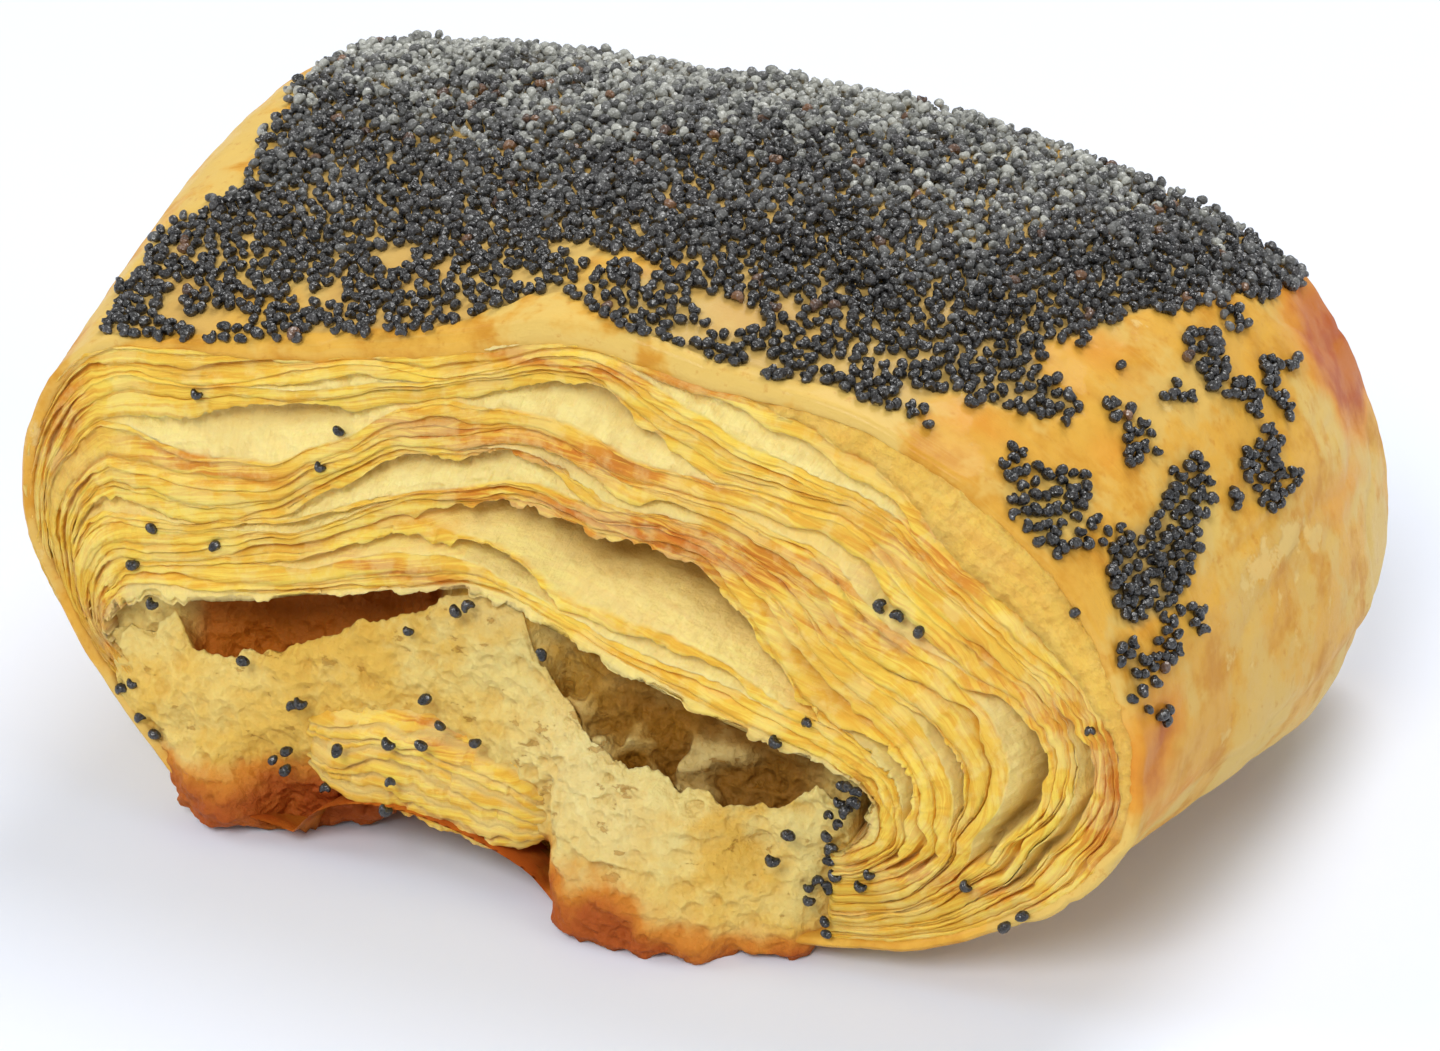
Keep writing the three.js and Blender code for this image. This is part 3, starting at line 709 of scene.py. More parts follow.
def crumb_shape(across, down):
    """The ring's corners: under the crumb, up its front, over into the hollows and down behind."""
    x = CRUMB_FOOT[0][0] + (CRUMB_FOOT[-1][0] - CRUMB_FOOT[0][0]) * across
    lines = (CRUMB_FOOT, CRUMB_LIP, CRUMB_ROOF, HOLLOW_DEPTH)
    low, high, roof, hollow = (read_off(x, line) for line in lines)
    low = low + np.abs(0.35 * rough(x / 1.8, 9.5, 2.5, 3)) * smooth(low, 0, 1)
    high = high + 0.7 * rough(x / 2.2, 3.5, 1.5, 4)
    start, end = CRUMB_FRONT
    under = np.clip(1 - down / start, 0, 1)
    up = np.clip((down - start) / (end - start), 0, 1)
    over = np.clip((down - end) / (CRUMB_REAR - end), 0, 1)
    rear = np.clip((down - CRUMB_REAR) / (1 - CRUMB_REAR), 0, 1)
    z = low + (high - low) * up
    foot_forward = read_off(x, FOOT_FORWARD) * (1 - smooth(z, 1.5, np.where(x < -3, 9, 15)))
    y = FACE_Y + FRONT_LEAN * z + 0.6 - foot_forward - mounds(x, z, BULGES).sum(0)
    y = np.maximum(y, CRUMB_FOREMOST + 0.35 + 0.3 * uneven(x / 3, z / 3, 4.5))
    y = y + 0.5 * smooth(up, 0.93, 1) + 0.7 * (1 - smooth(up, 0, 0.06))
    y = y + hollow * over ** 0.8 + 1.5 * rear
    z = z + (roof - high) * over ** 2.6 - 0.5 * hollow * np.sin(np.pi * np.clip(over * 1.15, 0, 1)) ** 0.8
    in_hollow = np.sin(np.pi * np.clip(over * 1.1, 0, 1)) * smooth(hollow, 1, 4) * smooth(x, -12, -4)
    lumps = smooth(rough(x / 2.6, y / 2.2, z / 2.2 + 8, 2), -0.1, 0.7) * in_hollow
    z = z + 1.3 * lumps
    y = y - 1.5 * lumps
    y = y + (CRUMB_BACK_Y - y) * np.maximum(smooth(under, 0, 1), smooth(rear, 0, 1))
    middle = (low + high) / 2
    z = z + (low + 0.8 - z) * smooth(under, 0, 1) + (middle - low) * smooth(under, 0.85, 1)
    z = z + (middle - z) * smooth(rear, 0.1, 1)
    point = np.stack([x, y, z], -1)
    facing_up = np.where(over > 0, np.clip(1.2 - 1.2 * over, 0, 1), smooth(up, 0.9, 1) * 0.6)
    forward = np.stack([0 * x, -(1 - 0.6 * facing_up), facing_up - 0.7 * smooth(under, 0, 0.4)
                        - 0.5 * (1 - smooth(up, 0, 0.06))], -1)
    hidden = np.maximum(smooth(under, 0.3, 0.8), smooth(rear, 0, 0.6))
    foot = smooth(6.5 - z, 0, 4) * np.maximum(mound(x, z, LEFT_FOOT), mound(x, z, RIGHT_FOOT))
    fluffy = np.maximum(mound(x, z, FLUFFIEST), 0.8 * smooth(over, 0, 0.1) * smooth(x, -8, -4))
    big = 1 - smooth(to_nearest_bubble(x / 2.6, y / 2.6, z / 2.3), 0.12, 0.42)
    small = 1 - smooth(to_nearest_bubble(x / 0.85 + 5, y / 0.85, z / 0.8), 0.15, 0.5)
    billow = 1 - 2 * np.abs(uneven(x / 1.7 + 3, y / 1.7, z / 1.5))
    billow = billow - np.abs(uneven(x / 0.8, y / 0.8, z / 0.7))
    torn = 0.45 * rough(x / 5, y / 5, z / 4, 4) + (0.2 + 0.3 * fluffy) * billow
    torn = torn + 0.5 * foot * rough(x / 2.6, y / 2.6, z / 2.6 + 3, 2)
    torn = torn + 0.14 * rough(x / 0.8, y / 0.8, z / 0.7, 3)
    patchy = smooth(rough(x / 4 + 5, y / 4, z / 4, 3), -0.3, 0.4)
    relief = torn - (0.45 * big + (0.16 + 0.14 * fluffy) * small * patchy) * (1 - 0.7 * foot)
    point = point + forward * (relief * (1 - hidden) - 0.2)[:, None]
    hub = np.stack([x, np.full(len(x), CRUMB_HUB_Y), middle], -1)
    point = hub + (point - hub) * plateau(across, 0, 0.012, 0.988, 1)[:, None]
    within = read_off(point[:, 2], CRUMB_WITHIN)
    point[:, 0] += np.maximum(within - point[:, 0], 0) * smooth(point[:, 1], -26.4, -24.6)
    point[:, 1] = np.maximum(point[:, 1], CRUMB_FOREMOST)
    point[:, 2] = np.maximum(point[:, 2], 0.02)
    browned = smooth(read_off(x, BAKED_TO) - z + rough(x / 3.4, y / 3.4, z / 3.4, 4), -1.6, 4.2)
    whitened = np.where(over > 0.02, 0.9 * lumps, mounds(x, z, WHITENED).sum(0))
    marks = {
        "brown": np.clip(browned, 0, 1),
        "pit": np.clip(0.6 * big + 0.5 * small, 0, 1),
        "sheeted": np.clip(mounds(x, z, BUTTERY).sum(0), 0, 1),
        "inside": smooth(over, 0.03, 0.22) * smooth(hollow, 1.2, 4) * (1 - 0.7 * lumps),
        "white": np.clip(whitened, 0, 1),
        # Where the painted shade of the hollows turns amber: on the left
        "amber": 1 - smooth(x, -15, -8),
    }
    return point, (x / 50, z / 50), marks


# The flap of sheets between the feet: one surface stepped layer by layer, closed round the back by
# the two rows after the last step
FLAP_COLUMNS = 260
FLAP_LEFT, FLAP_RIGHT = -25.6, -2.4
FLAP_LAYERS = 8
FLAP_TOP = [(-25.6, 12.0), (-21, 13.6), (-14, 14), (-9, 13), (-5.4, 11), (-2.4, 8)]
FLAP_FOOT = [(-25.6, 6.8), (-19, 5.4), (-14, 4.6), (-8, 3.6), (-3.6, 4.4)]
# Each row of a layer: its share of the layer and how far it lies in the gap
FLAP_STEPS = [(0.0, 0.55), (0.08, 0.12), (0.3, 0.0), (0.54, 0.06), (0.62, 0.5), (0.74, 1.0), (0.9, 0.8)]
FLAP_END = FLAP_LAYERS * len(FLAP_STEPS)
FLAP_ROWS = FLAP_END + 3


def flap_shape(across, down):
    """The flap's corners, layer by layer from its lower edge upwards."""
    row = np.round(down * FLAP_ROWS).astype(int) % FLAP_ROWS
    behind = row > FLAP_END
    layer = np.minimum(row // len(FLAP_STEPS), FLAP_LAYERS - 1)
    share, level = (np.array(values)[row % len(FLAP_STEPS)] for values in zip(*FLAP_STEPS))
    x = FLAP_LEFT + (FLAP_RIGHT - FLAP_LEFT) * across
    low = read_off(x, FLAP_FOOT) + 0.5 * rough(x / 1.7, 4.5, 7.5, 3)
    high = read_off(x, FLAP_TOP)
    every = np.arange(FLAP_LAYERS)[:, None]
    thick = 0.3 + smooth(uneven(every * 5.3, x / 8, 0.5), -0.5, 0.8)
    thick = thick + 0.22 * uneven(every * 2.9, x / 2.2, 3.5)
    thick = thick / thick.sum(0)
    here = np.arange(len(x))
    up = np.cumsum(thick, 0)[layer, here] - thick[layer, here] * (1 - share)
    up = np.where(row == FLAP_END, 1.0, up)
    out = 0.6 + 0.6 * np.sin(np.pi * np.clip(up, 0, 1)) ** 0.7 + 0.35 * uneven(x / 5, layer * 4.1, 3.5)
    out = out + 0.14 * uneven(x / 1.5, layer * 2.9, 5.5)
    out = out - 0.3 * smooth(rough(x / 2, layer * 6.3, 7.5, 3), 0.3, 0.6)
    gap = 0.2 + 0.5 * smooth(uneven(x / 4, layer * 7.7, 1.5), -0.3, 0.7)
    z = low + (high - low) * up + 0.15 * rough(x / 1.3, layer * 3.7, 2.5, 3) * (row < FLAP_END)
    y = FACE_Y + FRONT_LEAN * z + 0.5 - out + level * gap
    y = y + 3.2 * np.abs(2 * across - 1) ** 6 + 2.6 * smooth(up, 0.66, 1)
    y = np.where(behind, FACE_Y + 6.5, y)
    z = np.where(row == FLAP_END + 1, high, np.where(row == FLAP_END + 2, low + 0.4, z))
    marks = {
        "gap": np.where(behind, 1, level),
        "web": 0.5 * level * (~behind),
        "toast": 0.8 * mound(up, x, (0.8, -13, 0.08, 3)) + 0.4 * (1 - smooth(up, 0, 0.06)),
        "sponge": 0,
        "shade": 0,
        "inside": behind,
    }
    return np.stack([x, y, z], -1), (x / 100, z / 100), marks


# Crumb that fills the innermost sheet of the far end
BACK_CRUMB_AROUND = 260
BACK_CRUMB_ROWS = 90
BACK_CRUMB_HUB = (-2, 19)
BACK_CRUMB_FRONT = 0.75  # the share of its rows that its front takes


def back_crumb_shape(across, down):
    """The crumb's corners, from its middle out to the innermost sheet and round behind."""
    hub_x, hub_z = BACK_CRUMB_HUB
    rim = closed_curve(BACK_CORE, across)
    rim = rim + 0.5 * ringed(rough, 2.5, across, 24, 6.5, 4)[:, None] * (rim - BACK_CRUMB_HUB) / 14
    share = np.clip(down / BACK_CRUMB_FRONT, 0, 1)
    behind = np.clip((down - BACK_CRUMB_FRONT) / (1 - BACK_CRUMB_FRONT), 0, 1)
    size = share * 1.03 * (1 - behind)
    x = hub_x + (rim[:, 0] - hub_x) * size
    z = hub_z + (rim[:, 1] - hub_z) * size
    big = 1 - smooth(to_nearest_bubble(x / 3.1 + 9, 3.5, z / 2.6), 0.12, 0.55)
    small = 1 - smooth(to_nearest_bubble(x / 1.1 + 9, 7.5, z / 1.0), 0.12, 0.5)
    relief = 0.9 * rough(x / 5, 4.5, z / 3.4, 4) - 1.1 * big - 0.45 * small
    inner = 1.0 - relief * (1 - smooth(share, 0.93, 1) * 0.6) + 0.9 * smooth(share, 0.9, 1)
    depth = np.where(behind > 0, 6.5, np.clip(inner, 0.3, 5.5))
    y = FACE_Y + DEPTH - SKEW * x - BACK_LEAN * z - depth
    marks = {"brown": 0, "pit": np.clip(0.6 * big + 0.5 * small, 0, 1), "sheeted": 0.3, "inside": behind > 0,
             "amber": 0, "white": 0}
    return np.stack([x, y, z], -1), (x / 50, z / 50), marks


# Poppy seeds: one kidney shape, copied over the crust and wherever they fell on the cut face
SEED_HALVES = (0.5, 0.44, 0.37)  # half its length, width and height, as shares of its length
SEED_SIZES = (0.8, 1.1)
SEED_TILT = 0.35
SEED_NOTCH = (0, -0.14, 0)
LOWEST = 0.02  # how far above the table the lowest seed stays
SEED_AROUND = (0.33, 0.74)  # the shares around of the crust between which seeds may lie
SEED_ALONG = (0.004, 0.992)
TOWARDS_BACK = 0.72  # 1 draws seeds evenly along the crust, and less draws more of them to its back
TRIES_A_SEED = 42
CLUMPING = 0.76  # how much clumps count against chance in where seeds lie
CLUMP_SIZE = 2.1
LOOSEST = 0.55  # how much further apart thinly strewn seeds may lie


def seed_template():
    """A poppy seed about its own middle, in millimetres, lying along X."""
    shaped = bmesh.new()
    bmesh.ops.create_icosphere(shaped, subdivisions=2, radius=1)
    for corner in shaped.verts:
        x, y, z = corner.co
        waist = math.exp(-((x / 0.42) ** 2)) * max(0.0, -y)
        bent = (x, y + 0.62 * waist - 0.3 * x * x + 0.08, z * (1 - 0.3 * waist))
        corner.co = Vector([half * SEED_LENGTH * value for half, value in zip(SEED_HALVES, bent)])
    points = np.array([corner.co[:] for corner in shaped.verts])
    faces = np.array([[corner.index for corner in face.verts] for face in shaped.faces])
    shaped.free()
    return points, faces


def turned_frames(up, turn, rng):
    """For each seed, three directions: along it, across it and out of what it lies on."""
    count = len(up)
    helper = np.stack([np.cos(turn), np.sin(turn), 0.3 * np.ones(count)], -1)
    ahead = helper - up * (helper * up).sum(-1, keepdims=True)
    ahead /= np.linalg.norm(ahead, axis=-1, keepdims=True)
    across = np.cross(up, ahead)
    lean = rng.normal(0, 1, (count, 2)) * SEED_TILT
    roll = rng.choice([0, np.pi / 2, -np.pi / 2], count, p=[0.5, 0.25, 0.25]) + lean[:, 0]
    pitch = lean[:, 1]
    rolled_across = across * np.cos(roll)[:, None] + up * np.sin(roll)[:, None]
    rolled_up = np.cross(ahead, rolled_across)
    pitched_ahead = ahead * np.cos(pitch)[:, None] + rolled_up * np.sin(pitch)[:, None]
    return pitched_ahead, rolled_across, np.cross(pitched_ahead, rolled_across)


def seeds_piece(name, places, ups, rng):
    """Copies of the seed at the given places, joined in one piece, each with its own tone."""
    template, faces = seed_template()
    count = len(places)
    size = rng.uniform(*SEED_SIZES, count)
    ahead, across, up = turned_frames(ups, rng.uniform(0, 2 * np.pi, count), rng)
    scaled = template[None] * size[:, None, None]
    points = (scaled[..., 0:1] * ahead[:, None] + scaled[..., 1:2] * across[:, None]
              + scaled[..., 2:3] * up[:, None] + places[:, None])
    low = points[..., 2].min(1)
    points[..., 2] += np.maximum(LOWEST - low, 0)[:, None]
    mesh = bpy.data.meshes.new(name)
    offsets = (np.arange(count) * len(template))[:, None, None]
    mesh.from_pydata(to_frame(points.reshape(-1, 3)), [], (faces[None] + offsets).reshape(-1, 3))
    add_mark(mesh, "tone", np.repeat(rng.random(count), len(template)))
    # Painted shade in each seed's notch: 1 in its hollow, fading to 0 round it
    notch_shade = 1 - smooth(np.linalg.norm(template - SEED_NOTCH, axis=1), 0.1, 0.52)
    add_mark(mesh, "notch_shade", np.tile(notch_shade, count))
    mesh.shade_smooth()
    return placed_object(name, mesh)


def scatter(rng, wanted, gap, cover, lift):
    """Places on the crust, no two closer than gap, drawn where cover says seeds lie thick."""
    cell = 1.6 * gap
    taken = {}
    places, ups = [], []
    tries = TRIES_A_SEED * wanted
    around = rng.uniform(*SEED_AROUND, tries)
    along = SEED_ALONG[0] + (SEED_ALONG[1] - SEED_ALONG[0]) * rng.random(tries) ** TOWARDS_BACK
    point = crust_point(around, along)
    clumps = 0.5 + uneven(*(point / CLUMP_SIZE).T)
    thick = cover(around, along)
    keep = thick > (1 - CLUMPING) * rng.random(tries) + CLUMPING * np.clip(clumps, 0.04, 1)
    around, along, point, thick = around[keep], along[keep], point[keep], thick[keep]
    apart = gap * (1 + LOOSEST * np.clip(1.2 - 1.2 * thick, 0, 1) * rng.random(len(thick)) ** 2)
    out = crust_out(around, np.clip(along, 0.01, 0.99))
    settled = point + out * (crust_relief(point, around, along) + lift)[:, None]
    for place, up, room in zip(settled, out, apart):
        key = tuple(np.floor(place / cell).astype(int))
        beside = [taken.get((key[0] + i, key[1] + j, key[2] + k), ())
                  for i in (-1, 0, 1) for j in (-1, 0, 1) for k in (-1, 0, 1)]
        if any(np.dot(place - other, place - other) < room * room for near in beside for other in near):
            continue
        taken.setdefault(key, []).append(place)
        places.append(place)
        ups.append(up)
        if len(places) == wanted:
            break
    return np.array(places), np.array(ups)


# Seeds that fell on the cut face, as x and z of the face and how far out of it they lie
FACE_SEEDS = [
    (-33.2, 35.6, 0), (-21.3, 34.8, 0), (-22.8, 31.7, 0), (-37.2, 24.1, 0), (-31.7, 23.7, 0),
    (-38.9, 20.8, 0), (-37.2, 17.9, 0), (-10.2, 23.3, 0.6), (-11.2, 22.7, 0.6), (-15.1, 20.3, 0.5),
    (-4.2, 20.6, 0.5), (21.6, 29.3, 0), (22.9, 28.8, 0), (24.6, 27.9, 0), (35.8, 31.6, 0),
    (37.6, 23, 0), (16.6, 19.2, 0), (14.4, 17.4, 0.3), (-13.4, 15.3, 0.9), (-12, 13.6, 1.2),
    (-13.1, 12.2, 2.1), (-15.8, 11.8, 2.2), (-9.1, 12.8, 1.2), (-15.5, 8.8, 2.4), (-16.1, 6.1, 1.9),
    (-20, 10.5, 2.4), (-24.5, 12.5, 1.1), (-23.8, 12.9, 1.1), (-28.8, 15.3, 1), (-39.9, 10.3, 0.2),
    (-38.9, 11, 0.2), (-38.2, 8.3, 0.3), (-36.9, 7.2, 0.4), (-26.2, 7.6, 1), (-25.1, 8.5, 0.9),
    (-25.2, 6.9, 0.9), (-22, 5.8, 0.4), (16.1, 10.8, 1.2), (15.2, 8.9, 1.8), (22.1, 8.4, 0.1),
    (21.5, 7.3, 0.1), (29.5, 9.2, 0.2), (34, 8.1, 0.6), (32.7, 6.9, 0.6),
]
# The line of seeds caught in the seam where the crumb meets the folded side's curl
SEAM_SEEDS = [
    (19.6, 14.7), (20.7, 14), (20.2, 15.3), (18.8, 12.5), (19.6, 12), (18.8, 10.9), (19, 9.6), (18.9, 8.6),
    (18.2, 6.9), (17.5, 6.2), (18.9, 6.5), (17.8, 5.6), (19.4, 7.5), (19.1, 4.1), (19.3, 3.2), (20.9, 15),
    (19.4, 13.4), (20.1, 13.1),
]
FACE_SEED_UP = (0, -1, 0.12)


def face_seeds(rng):
    """Places of the seeds on the front cut face and in its seam, and the way out of the face."""
    places = [(x, FACE_Y + FRONT_LEAN * z + 0.25 - proud, z) for x, z, proud in FACE_SEEDS]
    places += [(x, FACE_Y + FRONT_LEAN * z + rng.uniform(-0.4, 0.5), z) for x, z in SEAM_SEEDS]
    up = np.array(FACE_SEED_UP) / np.linalg.norm(FACE_SEED_UP)
    return np.array(places), np.tile(up, (len(places), 1))


def linear(red, green, blue):
    """A colour from its 0 to 255 screen values."""
    return tuple(((value / 255 + 0.055) / 1.055) ** 2.4 if value > 10 else value / 255 / 12.92
                 for value in (red, green, blue)) + (1.0,)


# Colours of the cut sheets
BUTTER_YELLOW = linear(255, 218, 92)
GOLD = linear(238, 174, 50)
PATCHY_GOLD = linear(236, 178, 66)
TOASTED_GOLD = linear(224, 148, 52)
TOASTED = linear(206, 118, 38)
# Painted shade: a darker gold over the gaps between the sheets, strongest where a gap lies deepest
GAP_SHADE_GOLD = linear(196, 132, 40)
WEB_CREAM = linear(255, 239, 164)
WEB_MOTTLE = linear(228, 192, 106)
WEB_SHADE = linear(196, 158, 82)
SPONGE = linear(244, 198, 94)
SPONGE_PORE = linear(214, 156, 60)
POCKET_SHADE = linear(168, 126, 44)
# Painted shade: dark amber on the hidden insides, the crust's pocket behind each face and the rows that
# close the sheets behind
HIDDEN_INSIDE_SHADE = linear(140, 80, 20)
# Colours of the crust
GLAZE_PALE = linear(223, 187, 100)
GLAZE_GOLD = linear(226, 174, 70)
GLAZE_AMBER = linear(202, 138, 38)
GLAZE_ORANGE = linear(224, 152, 50)
GLAZE_BROWN = linear(184, 92, 30)
GLAZE_SPECK = linear(196, 124, 36)
FLAKED_PALE = linear(230, 202, 134)
# Crust between the seeds: partly a duller colour of its own, partly painted shade from the seeds around it
UNDER_SEEDS_DULL_AND_SHADED = linear(204, 168, 96)
# Colours of the crumb
CRUMB_WHITE = linear(227, 206, 130)
CRUMB_PALEST = linear(232, 216, 152)
CRUMB_YELLOW = linear(217, 173, 74)
CRUMB_BUTTERY = linear(236, 196, 96)
# Painted shade: a darker gold in the crumb's pits
CRUMB_PIT_SHADE = linear(214, 166, 72)
CRUMB_GRAIN = linear(220, 174, 78)
# Painted shade: dark brown in the thin slits of the crumb
CRUMB_SLIT_SHADE = linear(170, 116, 36)
# Painted shade in the crumb's hollows and on its hidden back, turned amber on the left as painted light
# glowing through the crumb
HOLLOW_SHADE = linear(130, 82, 8)
HOLLOW_AMBER_SHADE = linear(176, 92, 12)
BAKED_ORANGE = linear(208, 132, 46)
OVEN_BROWN = linear(168, 82, 28)
# Poppy seeds: the name of each kind, and the colours of its skin, its lightest dust and the painted shade in
# its notch
SEED_KINDS = [
    ("dark_seeds", linear(8, 6, 6), linear(31, 26, 24), linear(3, 3, 3)),
    ("slate_seeds", linear(16, 14, 14), linear(54, 52, 53), linear(6, 5, 5)),
    ("grey_seeds", linear(36, 36, 36), linear(104, 104, 102), linear(12, 10, 10)),
    # The lightest kind: dust, and the painted sheen of the seeds lying far back
    ("dusty_and_sheened_seeds", linear(100, 101, 96), linear(184, 185, 176), linear(24, 22, 20)),
    ("rusty_seeds", linear(74, 50, 38), linear(124, 86, 54), linear(36, 22, 14)),
]
SEED_NET = linear(176, 180, 180)
TABLE_WHITE = linear(228, 234, 246)


class Wiring:
    """Short ways to add nodes to a tree and join them."""

    def __init__(self, tree):
        self.tree = tree

    def add(self, kind, inputs=None, **settings):
        """A new node. Its inputs are given by name or by number."""
        made = self.tree.nodes.new(kind)
        for name, value in settings.items():
            setattr(made, name, value)
        for name, value in (inputs or {}).items():
            self.plug(made.inputs[name], value)
        return made

    def plug(self, socket, value):
        """Joins a socket to another, or sets its value."""
        if isinstance(value, bpy.types.NodeSocket):
            self.tree.links.new(value, socket)
        else:
            socket.default_value = value

    def mark(self, name):
        """A named value of the mesh."""
        return self.add("ShaderNodeAttribute", attribute_name=name).outputs["Fac"]

    def math(self, operation, first, second, clamp=False):
        made = self.add("ShaderNodeMath", {0: first, 1: second}, operation=operation, use_clamp=clamp)
        return made.outputs[0]

    def times(self, first, *others):
        for other in others:
            first = self.math("MULTIPLY", first, other)
        return first

    def plus(self, first, *others):
        for other in others:
            first = self.math("ADD", first, other)
        return first

    def rest(self, share):
        """What a share leaves of 1."""
        return self.math("SUBTRACT", 1.0, share, clamp=True)

    def step(self, value, low, high):
        """0 below low and 1 above high, with an even bend between."""
        made = self.add("ShaderNodeMapRange", {"Value": value, "From Min": low, "From Max": high},
                        interpolation_type="SMOOTHSTEP")
        return made.outputs["Result"]

    def tinted(self, colour, tints):
        """A colour with tints laid over it in turn: the mask or named mark of each, how much of it
        counts, and its colour."""
        for mask, strength, tint in tints:
            share = self.times(self.mark(mask) if isinstance(mask, str) else mask, strength)
            colour = self.add("ShaderNodeMix", {"Factor": share, 6: colour, 7: tint},
                              data_type="RGBA", clamp_factor=True).outputs[2]
        return colour

    def stretch(self, vector, scale):
        return self.add("ShaderNodeMapping", {"Vector": vector, "Scale": scale}).outputs["Vector"]

    def noise(self, vector, scale, detail, roughness, distortion=0.0):
        made = self.add("ShaderNodeTexNoise", {"Vector": vector, "Scale": scale, "Detail": detail,
                                               "Roughness": roughness, "Distortion": distortion})
        return made.outputs["Fac"]

    def cells(self, vector, scale):
        """The distance to the nearest of scattered points."""
        made = self.add("ShaderNodeTexVoronoi", {"Vector": vector, "Scale": scale}, feature="F1")
        return made.outputs["Distance"]

    def bump(self, height, strength, distance):
        made = self.add("ShaderNodeBump", {"Strength": strength, "Distance": distance, "Height": height})
        return made.outputs["Normal"]

    def placed(self, group, inputs):
        return self.add("ShaderNodeGroup", inputs, node_tree=group).outputs

    def patches(self, where, scale, low, high):
        return self.placed(PATCHES, {"Vector": where, "Scale": scale, "Low": low, "High": high})["Mask"]

    def pores(self, where, scale, depth):
        return self.placed(PORES, {"Vector": where, "Scale": scale, "Depth": depth})["Height"]

    def streaks(self, chart, fineness):
        return self.placed(STREAKS, {"Vector": chart, "Fineness": fineness})


def node_group(name, numbers, outputs):
    """A shader node group that takes a vector and named numbers: it, its wiring, way in and way out."""
    group = bpy.data.node_groups.new(name, "ShaderNodeTree")
    group.interface.new_socket(name="Vector", in_out="INPUT", socket_type="NodeSocketVector")
    for label, value in numbers.items():
        socket = group.interface.new_socket(name=label, in_out="INPUT", socket_type="NodeSocketFloat")
        socket.default_value = value
    for label in outputs:
        group.interface.new_socket(name=label, in_out="OUTPUT", socket_type="NodeSocketFloat")
    wiring = Wiring(group)
    return group, wiring, wiring.add("NodeGroupInput").outputs, wiring.add("NodeGroupOutput").inputs


def patches_group():
    """A mask of uneven patches: noise cut between a low and a high level."""
    group, wiring, given, out = node_group(
        "baked patches", {"Scale": 100.0, "Low": 0.4, "High": 0.6}, ["Mask"])
    cloud = wiring.noise(given["Vector"], given["Scale"], 5.0, 0.6)
    wiring.plug(out["Mask"], wiring.step(cloud, given["Low"], given["High"]))
    return group


def pores_group():
    """Fine pores and crinkles of baked dough, as a height."""
    group, wiring, given, out = node_group("fine pores", {"Scale": 900.0, "Depth": 0.5}, ["Height"])
    pitted = wiring.times(wiring.cells(given["Vector"], given["Scale"]), given["Depth"])
    wiring.plug(out["Height"], wiring.plus(pitted, wiring.noise(given["Vector"], given["Scale"], 4.0, 0.65)))
    return group


def streaks_group():
    """Long thin streaks that follow the sheets of dough, as a mask and a height."""
    group, wiring, given, out = node_group("sheet streaks", {"Fineness": 1.0}, ["Mask", "Height"])
    chart, fineness = given["Vector"], given["Fineness"]
    broad = wiring.noise(wiring.stretch(chart, (9.0, 260.0, 1.0)), fineness, 5.0, 0.6, 0.9)
    fine = wiring.noise(wiring.stretch(chart, (46.0, 1500.0, 1.0)), fineness, 4.0, 0.65)
    wiring.plug(out["Mask"], broad)
    wiring.plug(out["Height"], wiring.plus(wiring.times(broad, 0.6), fine))
    return group


PATCHES = patches_group()
PORES = pores_group()
STREAKS = streaks_group()


def new_material(name):
    """A material, its wiring, its skin's sockets, and the two ways its patterns find their place."""
    material = bpy.data.materials.new(name)
    material.use_nodes = True
    wiring = Wiring(material.node_tree)
    coordinates = wiring.add("ShaderNodeTexCoord").outputs
    skin = material.node_tree.nodes["Principled BSDF"].inputs
    return material, wiring, skin, coordinates["Object"], coordinates["UV"]


def set_skin(skin, settings):
    """Constant values on a skin's own sockets."""
    for name, value in settings.items():
        skin[name].default_value = value


def crust_material():
    """Egg-glazed crust: amber where the glaze is thick, pale where it has flaked, browned in patches."""
    material, wiring, skin, where, chart = new_material("glazed crust")
    amber = wiring.patches(where, 85.0, 0.45, 0.54)
    cloudy = wiring.patches(where, 210.0, 0.4, 0.66)
    specks = wiring.patches(where, 1200.0, 0.58, 0.72)
    fibres = wiring.streaks(chart, 0.8)
    cut_at = wiring.math("SUBTRACT", 0.8, wiring.times(wiring.mark("flaked"), 0.34))
    flaked = wiring.patches(where, 260.0, cut_at, wiring.plus(cut_at, 0.07))
    browned = wiring.times(wiring.mark("brown"), wiring.plus(wiring.times(cloudy, 0.35), 0.8))
    wiring.plug(skin["Base Color"], wiring.tinted(GLAZE_PALE, [
        (amber, 1, GLAZE_GOLD),
        (wiring.times(cloudy, amber), 0.85, GLAZE_AMBER),
        (wiring.step(fibres["Mask"], 0.52, 0.66), 0.2, GLAZE_PALE),
        (specks, 0.4, GLAZE_SPECK),
        ("flaked", 0.35, GLAZE_AMBER),
        (flaked, 0.6, FLAKED_PALE),
        (wiring.step(browned, 0.06, 0.6), 1, GLAZE_ORANGE),
        (wiring.step(browned, 0.4, 1.0), 1, GLAZE_BROWN),
        # Duller crust under the seeds, partly painted shade from the seeds
        (wiring.step(wiring.mark("seeded"), 0.5, 0.85), 1, UNDER_SEEDS_DULL_AND_SHADED),
        # Painted shade inside the pocket behind each face
        ("pocket", 1, HIDDEN_INSIDE_SHADE),
    ]))
    wiring.plug(skin["Roughness"], wiring.plus(wiring.times(cloudy, 0.16), wiring.times(flaked, 0.3), 0.46))
    wiring.plug(skin["Coat Weight"], wiring.times(wiring.rest(flaked), 0.12))
    height = wiring.plus(wiring.pores(where, 620.0, 0.35), wiring.times(fibres["Height"], 0.35),
                         wiring.times(flaked, -0.5))
    wiring.plug(skin["Normal"], wiring.bump(height, 0.4, 0.0005))
    set_skin(skin, {"Coat Roughness": 0.12, "Specular IOR Level": 0.12})
    return material


